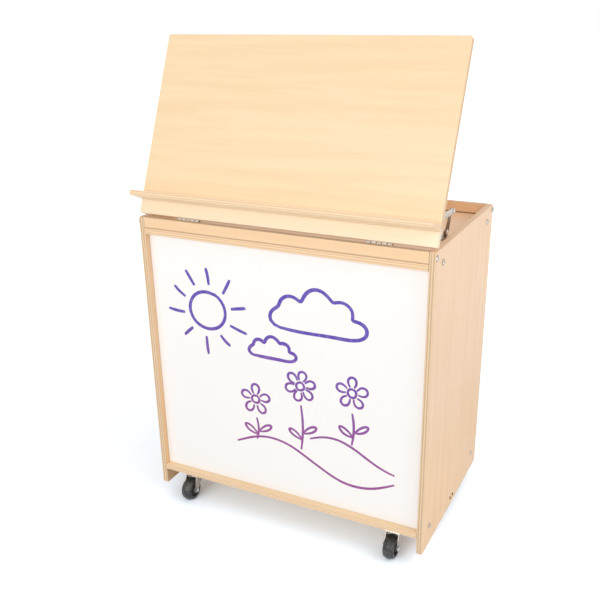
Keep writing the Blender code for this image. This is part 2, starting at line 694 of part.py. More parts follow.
def fork_side_outline():
    """Return the side view of the fork: a crown that tapers to a boss round the axle."""
    top = FORK_CROWN_TOP
    half = FORK_TOP_LENGTH / 2
    outline = arc((half - FORK_TOP_RADIUS, top - FORK_TOP_RADIUS), FORK_TOP_RADIUS, 0.0, math.pi / 2,
                  CORNER_SEGMENTS)
    outline += arc((FORK_TOP_RADIUS - half, top - FORK_TOP_RADIUS), FORK_TOP_RADIUS, math.pi / 2, math.pi,
                   CORNER_SEGMENTS)
    boss = (-CASTER_TRAIL, WHEEL_RADIUS)
    front = tangent_angle(boss, FORK_BOSS_RADIUS, (-half, top - FORK_TOP_RADIUS), 1)
    rear = tangent_angle(boss, FORK_BOSS_RADIUS, (half, top - FORK_TOP_RADIUS), -1)
    outline += arc(boss, FORK_BOSS_RADIUS, front, rear + 2 * math.pi, 2 * CORNER_SEGMENTS)
    return outline


def tangent_angle(centre, radius, point, turn):
    """Return the angle on a circle at which the line from a point outside it touches."""
    reach = math.hypot(point[0] - centre[0], point[1] - centre[1])
    bearing = math.atan2(point[1] - centre[1], point[0] - centre[0])
    return bearing + turn * math.acos(radius / reach)


def build_caster_fork(swivel, name):
    """Build the fork: a channel with tapered cheeks under a lower race."""
    body = bmesh.new()
    add_prism(body, fork_side_outline(), -FORK_OUTER_WIDTH / 2, FORK_OUTER_WIDTH / 2, along_x)
    fork = make_piece("caster_fork_" + name, body, ZINC, swivel)
    channel = bmesh.new()
    length = 2 * (CASTER_TRAIL + FORK_TOP_LENGTH + FORK_BOSS_RADIUS)
    add_prism(channel, box_outline(FORK_INNER_WIDTH, length), -WHEEL_RADIUS, FORK_CROWN_UNDERSIDE, along_z)
    cut(fork, channel)
    race = bmesh.new()
    top = FORK_CROWN_TOP + RACE_HEIGHT
    sink = FORK_CROWN_TOP - FORK_THICKNESS / 2
    foot = FORK_OUTER_WIDTH / 2 - FORK_THICKNESS / 4
    profile = [(0.0, top), (RACE_RADIUS - RACE_SLOPE, top), (RACE_RADIUS, top - RACE_HEIGHT / 3),
               (foot, FORK_CROWN_TOP), (foot, sink), (0.0, sink)]
    add_turned(race, profile, (0.0, 0.0, 0.0), (0.0, 0.0, 1.0), RACE_SEGMENTS)
    cut(fork, race, "UNION")
    bore = bmesh.new()
    start = (0.0, 0.0, FORK_CROWN_UNDERSIDE - FORK_THICKNESS)
    length = top - start[2] + FORK_THICKNESS
    add_turned(bore, rod_profile(KINGPIN_RADIUS + RUNNING_GAP, length), start, (0.0, 0.0, 1.0), RACE_SEGMENTS)
    axle = (-FORK_OUTER_WIDTH, -CASTER_TRAIL, WHEEL_RADIUS)
    profile = rod_profile(AXLE_RADIUS + JOINT_GAP, 2 * FORK_OUTER_WIDTH)
    add_turned(bore, profile, axle, (1.0, 0.0, 0.0), SMALL_SEGMENTS)
    cut(fork, bore)


def hexagon_ring(radius, count):
    """Return points on a hexagon at even angles, in the YZ plane."""
    points = []
    for step in range(count):
        angle = 2 * math.pi * step / count
        lean = (angle + math.pi / 6) % (math.pi / 3) - math.pi / 6
        reach = radius * math.cos(math.pi / 6) / math.cos(lean)
        points.append((reach * math.cos(angle), reach * math.sin(angle)))
    return points


def build_axle(carrier, name):
    """Build the axle bolt with its hexagon head and nut outside the fork."""
    body = bmesh.new()
    seat = FORK_OUTER_WIDTH / 2 + JOINT_GAP
    hexagon = hexagon_ring(NUT_RADIUS, NUT_SEGMENTS)
    rod = arc((0.0, 0.0), AXLE_RADIUS, 0.0, 2 * math.pi, NUT_SEGMENTS)[:-1]
    rings = [(-seat - NUT_HEIGHT, hexagon), (-seat, hexagon), (-seat, rod), (seat, rod), (seat, hexagon),
             (seat + NUT_HEIGHT, hexagon)]
    loops = [[body.verts.new((x, u, v)) for u, v in points] for x, points in rings]
    for low, high in zip(loops, loops[1:]):
        add_strip(body, low, high)
    body.faces.new(loops[0])
    body.faces.new(reversed(loops[-1]))
    make_piece("caster_axle_" + name, body, STEEL, carrier)


def build_wheel(carrier, name):
    """Build the wheel: a solid tyre round a hub with a thin web."""
    half = WHEEL_WIDTH / 2
    inner = WHEEL_RADIUS - TYRE_THICKNESS
    tread = half - WHEEL_SHOULDER
    shoulder = WHEEL_RADIUS - WHEEL_CROWN - WHEEL_SHOULDER
    profile = [(inner, half)]
    profile += [(shoulder + u, tread + v)
                for u, v in reversed(arc((0.0, 0.0), WHEEL_SHOULDER, 0.0, math.pi / 2, SHOULDER_SEGMENTS))]
    profile.append((WHEEL_RADIUS - WHEEL_CROWN / 4, tread / 2))
    mirrored = [(radius, -height) for radius, height in reversed(profile)]
    profile += [(WHEEL_RADIUS, 0.0)] + mirrored
    tyre = bmesh.new()
    add_turned(tyre, profile, (0.0, 0.0, 0.0), (1.0, 0.0, 0.0), WHEEL_SEGMENTS, closed=True)
    make_piece("caster_tyre_" + name, tyre, RUBBER, carrier)
    rim = inner - JOINT_GAP
    web = HUB_WEB_THICKNESS / 2
    bore = AXLE_RADIUS + RUNNING_GAP
    profile = [(bore, half), (HUB_BOSS_RADIUS, half), (HUB_BOSS_RADIUS, web), (rim - HUB_RIM, web),
               (rim - HUB_RIM, half), (rim, half)]
    profile += [(radius, -height) for radius, height in reversed(profile)]
    hub = bmesh.new()
    add_turned(hub, profile, (0.0, 0.0, 0.0), (1.0, 0.0, 0.0), WHEEL_SEGMENTS, closed=True)
    make_piece("caster_hub_" + name, hub, PLASTIC, carrier)


def build_caster(root, name, x, y):
    """Build one swivel caster about its own swivel axis."""
    swivel = make_empty("swivel_" + name, root, (x, y, 0.0))
    carrier = make_empty("axle_" + name, swivel, (0.0, -CASTER_TRAIL, WHEEL_RADIUS))
    build_caster_plate(swivel, name)
    build_caster_fork(swivel, name)
    build_axle(carrier, name)
    build_wheel(carrier, name)


def origin_shift():
    """Return how far the cabinet moves along Y to centre the whole object on the origin."""
    nose = Vector((0.0, BOARD_FRONT - JOINT_GAP - LEDGE_REACH + LEDGE_NOSE_RADIUS,
                   BOARD_FOOT + LEDGE_RISE + LEDGE_NOSE_RADIUS))
    front = HINGE_Y + (BOARD_TURN @ nose).y - LEDGE_NOSE_RADIUS
    return -(front + REAR) / 2


def build_display():
    """Build every piece of the big book display."""
    root = make_empty("cabinet_frame", None, (0.0, origin_shift(), 0.0))
    tilt = make_empty("tilt_axis", root, HINGE_AXIS, (-BOARD_LEAN, 0.0, 0.0))
    build_cross_panels(root)
    build_marker_panel(root)
    build_divider(root)
    build_display_board(tilt)
    build_book_ledge(tilt)
    for side_name, side in (("left", -1), ("right", 1)):
        build_side_panel(root, "side_panel_" + side_name, side)
        build_assembly_bolts(root, side_name, side)
        build_hinge(root, tilt, side_name, side)
        build_stay(root, tilt, side_name, side)
        for end_name, end in (("front", -1), ("rear", 1)):
            place = (side * CASTER_REACH_X, end * CASTER_REACH_Y)
            build_caster(root, end_name + "_" + side_name, *place)


clear_scene()
build_display()
bpy.context.view_layer.update()
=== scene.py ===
"""Looks of a big book display: plywood, white marker front, plated hardware and casters.

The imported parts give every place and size. This script dresses them, adds the screws, the stay
caps, finer bolts and wheels and the marker strokes, and sets up a plain studio at the
photograph's angle.
"""

from __future__ import annotations

import logging
import math
from dataclasses import dataclass, field
from enum import Enum
from typing import Callable, Iterable, Mapping, Sequence

import bpy
from mathutils import Matrix, Vector

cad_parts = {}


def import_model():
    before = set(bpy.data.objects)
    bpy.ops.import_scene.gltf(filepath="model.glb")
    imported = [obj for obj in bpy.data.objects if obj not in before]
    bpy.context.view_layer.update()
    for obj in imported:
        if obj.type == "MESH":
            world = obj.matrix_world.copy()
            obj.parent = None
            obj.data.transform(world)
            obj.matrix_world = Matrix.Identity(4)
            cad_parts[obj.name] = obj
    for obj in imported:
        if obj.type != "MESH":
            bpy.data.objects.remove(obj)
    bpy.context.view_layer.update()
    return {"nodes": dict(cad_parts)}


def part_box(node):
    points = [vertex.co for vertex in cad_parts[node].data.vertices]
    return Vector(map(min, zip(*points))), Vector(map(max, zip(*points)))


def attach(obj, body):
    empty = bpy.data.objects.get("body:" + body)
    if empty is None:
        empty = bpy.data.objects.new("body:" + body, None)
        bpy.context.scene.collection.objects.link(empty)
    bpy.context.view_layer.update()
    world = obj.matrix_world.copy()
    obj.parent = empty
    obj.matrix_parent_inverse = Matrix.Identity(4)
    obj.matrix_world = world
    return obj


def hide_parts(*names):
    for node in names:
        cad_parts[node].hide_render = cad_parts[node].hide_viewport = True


LOG = logging.getLogger("big_book_display")
MM = 0.001
SLACK = 0.01 * MM
WELD = 0.001 * MM
SIDES = {"left": -1.0, "right": 1.0}
ENDS = ("front", "rear")
HALF_WIDTH = 305.0 * MM
BOARD_LEAN = math.radians(23.5)
TILT_AXIS = Vector((0.0, -164.868, 642.6)) * MM
SMOOTH_ANGLE = math.radians(38.0)
Z_ONTO_X = (0.0, math.pi / 2, 0.0)

Colour = tuple[float, float, float]
Triple = tuple[float, float, float]
Pair = tuple[float, float]
Material = bpy.types.Material
Piece = bpy.types.Object
Socket = bpy.types.NodeSocket


class Axis(Enum):
    """Directions that a panel's grain or thickness can follow."""

    X = (1.0, 0.0, 0.0)
    Y = (0.0, 1.0, 0.0)
    Z = (0.0, 0.0, 1.0)
    BOARD_UP = (0.0, math.sin(BOARD_LEAN), math.cos(BOARD_LEAN))
    BOARD_BACK = (0.0, math.cos(BOARD_LEAN), -math.sin(BOARD_LEAN))


class Slot(Enum):
    """Names of material slots in the record; the new pieces here get their materials directly, not from
    these.
    """

    LAMINATE = "marker_laminate"
    ZINC = "zinc"
    TYRE = "tyre_rubber"
    HUB = "hub_plastic"


@dataclass(frozen=True)
class Noise:
    """A noise texture: cells per metre, octaves, strength of the finer octaves and warp."""

    scale: float
    detail: float
    rough: float = 0.5
    distortion: float = 0.0


class NodeSheet:
    """A node tree with short calls to add and wire nodes."""

    def __init__(self, tree: bpy.types.NodeTree) -> None:
        """Keep the tree that the nodes go into."""
        self.tree = tree

    def add(self, kind: str, **settings: object) -> bpy.types.Node:
        """Add a node.

        Args:
            kind: the node's type name.
            settings: properties to set on the node.

        Returns:
            The new node.
        """
        node = self.tree.nodes.new(kind)
        for name, value in settings.items():
            setattr(node, name, value)
        return node

    def feed(self, socket: Socket, value: object) -> None:
        """Link an input socket or set its plain value.

        Args:
            socket: the input socket.
            value: the output to link, a plain value, or None to leave the socket as it is.
        """
        if isinstance(value, bpy.types.NodeSocket):
            self.tree.links.new(value, socket)
        elif socket.type == "RGBA":
            socket.default_value = (*value[:3], 1.0)
        elif value is not None:
            socket.default_value = value

    def math(self, operation: str, first: object, second: object = None, third: object = None,
             clamp: bool = False) -> Socket:
        """Add a Math node.

        Args:
            operation: the node's operation.
            first: first value or socket.
            second: second value or socket.
            third: third value or socket.
            clamp: whether the result is kept between 0 and 1.

        Returns:
            The node's output.
        """
        node = self.add("ShaderNodeMath", operation=operation, use_clamp=clamp)
        for socket, value in zip(node.inputs, (first, second, third)):
            self.feed(socket, value)
        return node.outputs[0]

    def vector(self, operation: str, first: object, second: object = None) -> bpy.types.NodeOutputs:
        """Add a Vector Math node.

        Args:
            operation: the node's operation.
            first: first vector or socket.
            second: second vector or socket.

        Returns:
            The node's outputs, a vector and a value.
        """
        node = self.add("ShaderNodeVectorMath", operation=operation)
        self.feed(node.inputs[0], first)
        self.feed(node.inputs[1], second)
        return node.outputs

    def scaled(self, vector: object, factors: Triple) -> Socket:
        """Return a vector with each axis multiplied by its own factor."""
        return self.vector("MULTIPLY", vector, factors)[0]

    def mix(self, factor: object, first: object, second: object, blend: str = "MIX") -> Socket:
        """Add a colour Mix node.

        Args:
            factor: share of the second colour.
            first: first colour or socket.
            second: second colour or socket.
            blend: the blend type.

        Returns:
            The mixed colour.
        """
        node = self.add("ShaderNodeMix", data_type="RGBA", blend_type=blend)
        self.feed(node.inputs[0], factor)
        self.feed(node.inputs[6], first)
        self.feed(node.inputs[7], second)
        return node.outputs[2]

    def noise(self, place: object, look: Noise, scale: object = None) -> Socket:
        """Add a noise texture.

        Args:
            place: the coordinates.
            look: the noise's settings.
            scale: scale to use in place of the settings' own.

        Returns:
            The noise value.
        """
        node = self.add("ShaderNodeTexNoise")
        values = {"Vector": place, "Scale": look.scale if scale is None else scale, "Detail": look.detail,
                  "Roughness": look.rough, "Distortion": look.distortion}
        for label, value in values.items():
            self.feed(node.inputs[label], value)
        return node.outputs[0]

    def span(self, value: object, low: float, high: float, out_low: float = 0.0,
             out_high: float = 1.0) -> Socket:
        """Map a range of values smoothly onto another.

        Args:
            value: the value to map.
            low: value that gives out_low.
            high: value that gives out_high.
            out_low: result at low.
            out_high: result at high.

        Returns:
            The mapped value.
        """
        node = self.add("ShaderNodeMapRange", interpolation_type="SMOOTHSTEP")
        for socket, item in zip(node.inputs, (value, low, high, out_low, out_high)):
            self.feed(socket, item)
        return node.outputs[0]

    def split(self, vector: object) -> bpy.types.NodeOutputs:
        """Take a vector apart.

        Args:
            vector: the vector or socket.

        Returns:
            Its X, Y and Z outputs.
        """
        node = self.add("ShaderNodeSeparateXYZ")
        self.feed(node.inputs[0], vector)
        return node.outputs

    def bump(self, height: object, strength: float, distance: float) -> Socket:
        """Bend the normal by a height.

        Args:
            height: the height value.
            strength: share of the bump that shows.
            distance: metres that a height of 1 stands for.

        Returns:
            The bent normal.
        """
        node = self.add("ShaderNodeBump")
        for label, value in (("Strength", strength), ("Distance", distance), ("Height", height)):
            self.feed(node.inputs[label], value)
        return node.outputs[0]


class MaterialSheet(NodeSheet):
    """The node sheet of a new Principled material."""

    def __init__(self, name: str) -> None:
        """Make the material.

        Args:
            name: the material's name.
        """
        self.material = bpy.data.materials.new(name)
        self.material.use_nodes = True
        super().__init__(self.material.node_tree)
        self.shader = self.tree.nodes["Principled BSDF"].inputs
        coords = self.add("ShaderNodeTexCoord").outputs
        self.place = coords["Object"]
        self.normal = coords["Normal"]

    def finish(self, colour: Socket, rough: Socket, bent: Socket | None = None, **plain: float) -> Material:
        """Wire the shader.

        Args:
            colour: base colour.
            rough: roughness.
            bent: bent normal, where the surface has one.
            plain: values that are the same all over the surface, by socket name with _ for a space.

        Returns:
            The finished material.
        """
        for label, value in (("Base Color", colour), ("Roughness", rough), ("Normal", bent)):
            self.feed(self.shader[label], value)
        for label, value in plain.items():
            self.shader[label.replace("_", " ")].default_value = value
        return self.material


class ShaderGroup:
    """A shader node group with named inputs and outputs, built once."""

    name = "group"
    inputs: Sequence[tuple[str, str]] = ()
    outputs: Sequence[tuple[str, str]] = ()

    def __init__(self) -> None:
        """Make the group's tree, its sockets and its nodes."""
        self.tree = bpy.data.node_groups.new(self.name, "ShaderNodeTree")
        for way, sockets in (("INPUT", self.inputs), ("OUTPUT", self.outputs)):
            for label, kind in sockets:
                self.tree.interface.new_socket(label, in_out=way, socket_type="NodeSocket" + kind)
        self.sheet = NodeSheet(self.tree)
        self.given = self.sheet.add("NodeGroupInput").outputs
        self.result = self.sheet.add("NodeGroupOutput").inputs
        self.draw()

    def draw(self) -> None:
        """Lay out the group's nodes."""
        raise NotImplementedError

    def place(self, sheet: NodeSheet, **values: object) -> bpy.types.NodeOutputs:
        """Place the group in a material.

        Args:
            sheet: the material's node sheet.
            values: input values by name.

        Returns:
            The placed group's outputs.
        """
        node = sheet.add("ShaderNodeGroup", node_tree=self.tree)
        for label, value in values.items():
            sheet.feed(node.inputs[label], value)
        return node.outputs


class PlankFrame(ShaderGroup):
    """Places along the grain, across it and through the sheet, with face, end and border masks."""

    name = "plank_frame"
    inputs = (("Place", "Vector"), ("Facing", "Vector"), ("Centre", "Vector"), ("Along", "Vector"),
              ("Across", "Vector"), ("Through", "Vector"), ("Half", "Vector"), ("Reach", "Float"))
    outputs = (("Grain", "Vector"), ("Face", "Float"), ("End", "Float"), ("Border", "Float"))
    facing_span: Pair = (0.55, 0.8)
    border_span: Pair = (0.4, 1.0)

    def draw(self) -> None:
        """Measure the place on the plank's own axes and find its faces, its ends and its eased edges."""
        sheet = self.sheet
        offset = sheet.vector("SUBTRACT", self.given["Place"], self.given["Centre"])[0]
        combine = sheet.add("ShaderNodeCombineXYZ")
        for socket, label in zip(combine.inputs, ("Along", "Across", "Through")):
            sheet.feed(socket, sheet.vector("DOT_PRODUCT", offset, self.given[label])[1])
        grain = combine.outputs[0]
        for mask, label in (("Face", "Through"), ("End", "Along")):
            facing = sheet.vector("DOT_PRODUCT", self.given["Facing"], self.given[label])[1]
            sheet.feed(self.result[mask], sheet.span(sheet.math("ABSOLUTE", facing), *self.facing_span))
        inside = sheet.vector("SUBTRACT", self.given["Half"], sheet.vector("ABSOLUTE", grain)[0])[0]
        first, second, third = sheet.split(inside)[:3]
        nearest = sheet.math("MINIMUM", first, second)
        further = sheet.math("MAXIMUM", first, second)
        border = sheet.math("MAXIMUM", nearest, sheet.math("MINIMUM", further, third))
        share = sheet.math("DIVIDE", border, self.given["Reach"])
        sheet.feed(self.result["Grain"], grain)
        sheet.feed(self.result["Border"], sheet.span(share, *self.border_span, 1.0, 0.0))


class VeneerGrain(ShaderGroup):
    """Pale hardwood veneer: long soft streaks, a slow figure and fine pores."""

    name = "veneer_grain"
    inputs = (("Grain", "Vector"), ("Light", "Color"), ("Dark", "Color"), ("Figure", "Float"))
    outputs = (("Color", "Color"), ("Roughness", "Float"), ("Height", "Float"))
    streak_stretch: Triple = (0.045, 1.0, 0.4)
    streak_noise = Noise(85.0, 6.0, 0.62, 0.3)
    streak_share = 0.7
    streak_height = 0.4
    slow_stretch: Triple = (0.16, 1.0, 0.6)
    broad_noise = Noise(6.0, 2.0, 0.5, 0.6)
    broad_share = 0.3
    wave_look = {"Scale": 7.0, "Distortion": 11.0, "Detail": 2.0, "Detail Scale": 0.9}
    wave_share = 0.1
    tone_span: Pair = (0.32, 0.7)
    pore_stretch: Triple = (0.028, 1.0, 1.0)
    pore_noise = Noise(640.0, 2.0, 0.55)
    pore_span: Pair = (0.58, 0.74)
    pore_share = 0.4
    gloss_span = (0.3, 0.7, 0.38, 0.48)

    def draw(self) -> None:
        """Mix the two veneer tones by streaks, figure and pores."""
        sheet = self.sheet
        grain = self.given["Grain"]
        slow_grain = sheet.scaled(grain, self.slow_stretch)
        streak = sheet.noise(sheet.scaled(grain, self.streak_stretch), self.streak_noise)
        broad = sheet.noise(slow_grain, self.broad_noise)
        wave = sheet.add("ShaderNodeTexWave", wave_type="BANDS", bands_direction="Y")
        for label, value in {"Vector": slow_grain, **self.wave_look}.items():
            sheet.feed(wave.inputs[label], value)
        pores = sheet.noise(sheet.scaled(grain, self.pore_stretch), self.pore_noise)
        pores = sheet.span(pores, *self.pore_span)
        tone = sheet.math("MULTIPLY", broad, self.broad_share)
        tone = sheet.math("MULTIPLY_ADD", streak, self.streak_share, tone)
        ripple = sheet.math("SUBTRACT", wave.outputs["Fac"], 0.5)
        tone = sheet.math("MULTIPLY_ADD", ripple, self.wave_share, tone)
        share = sheet.math("MULTIPLY", sheet.span(tone, *self.tone_span), self.given["Figure"])
        depth = sheet.math("MULTIPLY", self.given["Figure"], self.pore_share)
        share = sheet.math("MULTIPLY_ADD", pores, depth, share, clamp=True)
        rise = sheet.math("MULTIPLY", streak, self.streak_height)
        sheet.feed(self.result["Color"], sheet.mix(share, self.given["Light"], self.given["Dark"]))
        sheet.feed(self.result["Roughness"], sheet.span(streak, *self.gloss_span))
        sheet.feed(self.result["Height"], sheet.math("SUBTRACT", rise, pores))


class PlyEdge(ShaderGroup):
    """Sawn plywood edge: layers of long grain and end grain with thin glue lines."""

    name = "ply_edge"
    inputs = (("Grain", "Vector"), ("Thickness", "Float"), ("Light", "Color"), ("Dark", "Color"),
              ("Layers", "Float"))
    outputs = (("Color", "Color"), ("Height", "Float"))
    sway_noise = Noise(18.0, 2.0)
    sway_depth = 0.4
    fibre_stretch: Triple = (1.0, 1.0, 0.15)
    fibre_noise = Noise(260.0, 4.0, 0.6)
    fibre_share = 0.25
    fibre_height = 0.5
    odd_share = 0.75
    glue_span: Pair = (0.4, 0.5)
    glue_share = 0.3

    def draw(self) -> None:
        """Colour each layer by its number and darken the lines between the layers."""
        sheet = self.sheet
        grain = self.given["Grain"]
        sway = sheet.math("SUBTRACT", sheet.noise(grain, self.sway_noise), 0.5)
        sway = sheet.math("MULTIPLY", sway, self.sway_depth)
        level = sheet.math("DIVIDE", sheet.split(grain)[2], self.given["Thickness"])
        level = sheet.math("MULTIPLY_ADD", sheet.math("ADD", level, 0.5), self.given["Layers"], sway)
        odd = sheet.math("ABSOLUTE", sheet.math("MODULO", sheet.math("FLOOR", level), 2.0))
        glue = sheet.math("ABSOLUTE", sheet.math("SUBTRACT", sheet.math("FRACT", level), 0.5))
        glue = sheet.span(glue, *self.glue_span)
        fibre = sheet.noise(sheet.scaled(grain, self.fibre_stretch), self.fibre_noise)
        share = sheet.math("MULTIPLY", fibre, self.fibre_share)
        share = sheet.math("MULTIPLY_ADD", odd, self.odd_share, share)
        share = sheet.math("MULTIPLY_ADD", glue, self.glue_share, share, clamp=True)
        rise = sheet.math("MULTIPLY", fibre, self.fibre_height)
        sheet.feed(self.result["Color"], sheet.mix(share, self.given["Light"], self.given["Dark"]))
        sheet.feed(self.result["Height"], sheet.math("SUBTRACT", rise, glue))


class Handling(ShaderGroup):
    """Faint smears and hairlines that change a finish's gloss and tone."""

    name = "handling"
    inputs = (("Place", "Vector"), ("Scale", "Float"), ("Amount", "Float"))
    outputs = (("Smear", "Float"), ("Scratch", "Float"))
    smear_noise = Noise(1.0, 5.0, 0.55, 1.2)
    smear_span: Pair = (0.42, 0.72)
    hair_stretch: Triple = (1.0, 0.12, 0.06)
    hair_noise = Noise(900.0, 2.0)
    hair_span: Pair = (0.6, 0.78)

    def draw(self) -> None:
        """Layer a broad smear and thin hairlines."""
        sheet = self.sheet
        place = self.given["Place"]
        smear = sheet.noise(place, self.smear_noise, self.given["Scale"])
        hair = sheet.noise(sheet.scaled(place, self.hair_stretch), self.hair_noise)
        marks = {"Smear": sheet.span(smear, *self.smear_span), "Scratch": sheet.span(hair, *self.hair_span)}
        for label, mark in marks.items():
            sheet.feed(self.result[label], sheet.math("MULTIPLY", mark, self.given["Amount"]))


@dataclass
class Groups:
    """The shader groups that the finishes share."""

    frame: PlankFrame = field(default_factory=PlankFrame)
    veneer: VeneerGrain = field(default_factory=VeneerGrain)
    edge: PlyEdge = field(default_factory=PlyEdge)
    handling: Handling = field(default_factory=Handling)


@dataclass(frozen=True)
class Tones:
    """Light and dark colours of a sheet's veneer and of its sawn edges, then the tone of its ends."""

    light: Colour
    dark: Colour
    edge_light: Colour
    edge_dark: Colour
    end: Colour


class WoodTone(Enum):
    """The plywood sheets that the display is cut from."""

    BOARD = Tones((0.88, 0.67, 0.425), (0.80, 0.565, 0.325), (0.92, 0.69, 0.45), (0.68, 0.46, 0.275),
                  (0.62, 0.40, 0.225))
    LEDGE = Tones((0.95, 0.73, 0.48), (0.89, 0.65, 0.40), (0.92, 0.70, 0.46), (0.71, 0.49, 0.30),
                  (0.84, 0.56, 0.35))
    RAIL = Tones((0.86, 0.595, 0.355), (0.785, 0.505, 0.28), (0.73, 0.56, 0.385), (0.50, 0.365, 0.235),
                 (0.60, 0.42, 0.26))
    REAR = Tones((0.95, 0.67, 0.42), (0.87, 0.57, 0.33), (0.86, 0.60, 0.385), (0.62, 0.40, 0.235),
                 (0.60, 0.42, 0.26))
    SIDE = Tones((0.84, 0.57, 0.34), (0.78, 0.502, 0.284), (0.83, 0.62, 0.40), (0.52, 0.355, 0.21),
                 (0.88, 0.55, 0.335))
    TRAY = Tones((0.95, 0.64, 0.41), (0.86, 0.53, 0.31), (0.92, 0.67, 0.42), (0.70, 0.46, 0.265),
                 (0.60, 0.42, 0.26))


@dataclass(frozen=True)
class PlywoodFinish:
    """Clear-coated pale plywood set to one panel's own axes."""

    name: str
    centre: Triple
    along: Axis
    through: Axis
    half: Triple
    tone: WoodTone
    # Share of painted shade along the eased edges, standing in for the shade in the joints between panels.
    painted_border_shade: float
    # Strip at the lower edge: painted shade in the joint at a rail's foot, painted light on the board below
    # its ledge.
    painted_foot_share: float = 0.0
    painted_foot_tone: Colour = (0.16, 0.085, 0.045)
    painted_foot_reach: Pair = (1.0 * MM, 3.2 * MM)
    figure: float = 0.55
    layers: float = 5.0
    border_reach: float = 2.0 * MM
    end_share: float = 0.6
    # Painted shade: an upright panel's veneer turns darker towards its foot.
    painted_low_shade_tint: Colour = (0.965, 0.915, 0.785)
    painted_low_shade_reach: Pair = (-140.0 * MM, 20.0 * MM)
    smear_scale: float = 9.0
    smear_amount: float = 0.06
    sawn_rough: float = 0.12
    relief: Pair = (0.25, 0.12 * MM)
    coat: float = 0.15
    coat_rough: float = 0.32

    def wood(self, sheet: MaterialSheet, groups: Groups) -> tuple[Socket, Socket, Socket]:
        """Lay out the wood.

        Args:
            sheet: the material's node sheet.
            groups: the shared shader groups.

        Returns:
            Colour, roughness and height sockets.
        """
        tones = self.tone.value
        across = tuple(Vector(self.through.value).cross(Vector(self.along.value)))
        plank = groups.frame.place(sheet, Place=sheet.place, Facing=sheet.normal, Centre=self.centre,
                                   Along=self.along.value, Across=across, Through=self.through.value,
                                   Half=self.half, Reach=self.border_reach)
        face = groups.veneer.place(sheet, Grain=plank["Grain"], Light=tones.light, Dark=tones.dark,
                                   Figure=self.figure)
        edge = groups.edge.place(sheet, Grain=plank["Grain"], Thickness=2 * self.half[2],
                                 Light=tones.edge_light, Dark=tones.edge_dark, Layers=self.layers)
        smear = groups.handling.place(sheet, Place=sheet.place, Scale=self.smear_scale,
                                      Amount=self.smear_amount)
        end = sheet.math("MULTIPLY", plank["End"], self.end_share)
        sawn = sheet.mix(end, edge["Color"], tones.end)
        colour = sheet.mix(plank["Face"], sawn, self.with_painted_low_shade(sheet, plank["Grain"], face["Color"]))
        # Painted shade along the eased edges and in the joints between panels.
        shade = sheet.math("MULTIPLY", plank["Border"], self.painted_border_shade)
        # Then the painted strip at the panel's foot: shade on a rail, light on the board.
        colour = self.with_painted_foot(sheet, plank["Grain"], sheet.mix(shade, colour, tones.edge_dark))
        bare = sheet.math("SUBTRACT", 1.0, plank["Face"])
        rough = sheet.math("MULTIPLY_ADD", bare, self.sawn_rough, face["Roughness"])
        rough = sheet.math("ADD", rough, smear["Smear"])
        step = sheet.math("SUBTRACT", face["Height"], edge["Height"])
        height = sheet.math("MULTIPLY_ADD", plank["Face"], step, edge["Height"])
        return colour, rough, height

    def with_painted_low_shade(self, sheet: NodeSheet, grain: Socket, veneer: Socket) -> Socket:
        """Paint shade on the veneer, darker towards the foot of an upright panel.

        Args:
            sheet: the material's node sheet.
            grain: places on the plank's own axes.
            veneer: the veneer's colour.

        Returns:
            The colour, unchanged where the grain doesn't run upright.
        """
        if self.along is not Axis.Z:
            return veneer
        low_shade = sheet.span(sheet.split(grain)[0], *self.painted_low_shade_reach, 1.0, 0.0)
        return sheet.mix(low_shade, veneer, self.painted_low_shade_tint, "MULTIPLY")

    def with_painted_foot(self, sheet: NodeSheet, grain: Socket, colour: Socket) -> Socket:
        """Paint the strip along the panel's lower edge: painted shade in a rail's foot joint, painted light
        on the board below its ledge.

        Args:
            sheet: the material's node sheet.
            grain: places on the plank's own axes.
            colour: the panel's colour.

        Returns:
            The colour, unchanged where the panel has no such strip.
        """
        if not self.painted_foot_share:
            return colour
        rise = sheet.math("SUBTRACT", self.half[1], sheet.split(grain)[1])
        share = sheet.span(rise, *self.painted_foot_reach, self.painted_foot_share, 0.0)
        return sheet.mix(share, colour, self.painted_foot_tone)

    def build(self, groups: Groups) -> Material:
        """Make the plywood's material.

        Args:
            groups: the shared shader groups.

        Returns:
            The plywood's material.
        """
        sheet = MaterialSheet(self.name)
        colour, rough, height = self.wood(sheet, groups)
        return sheet.finish(colour, rough, sheet.bump(height, *self.relief), Coat_Weight=self.coat,
                            Coat_Roughness=self.coat_rough)


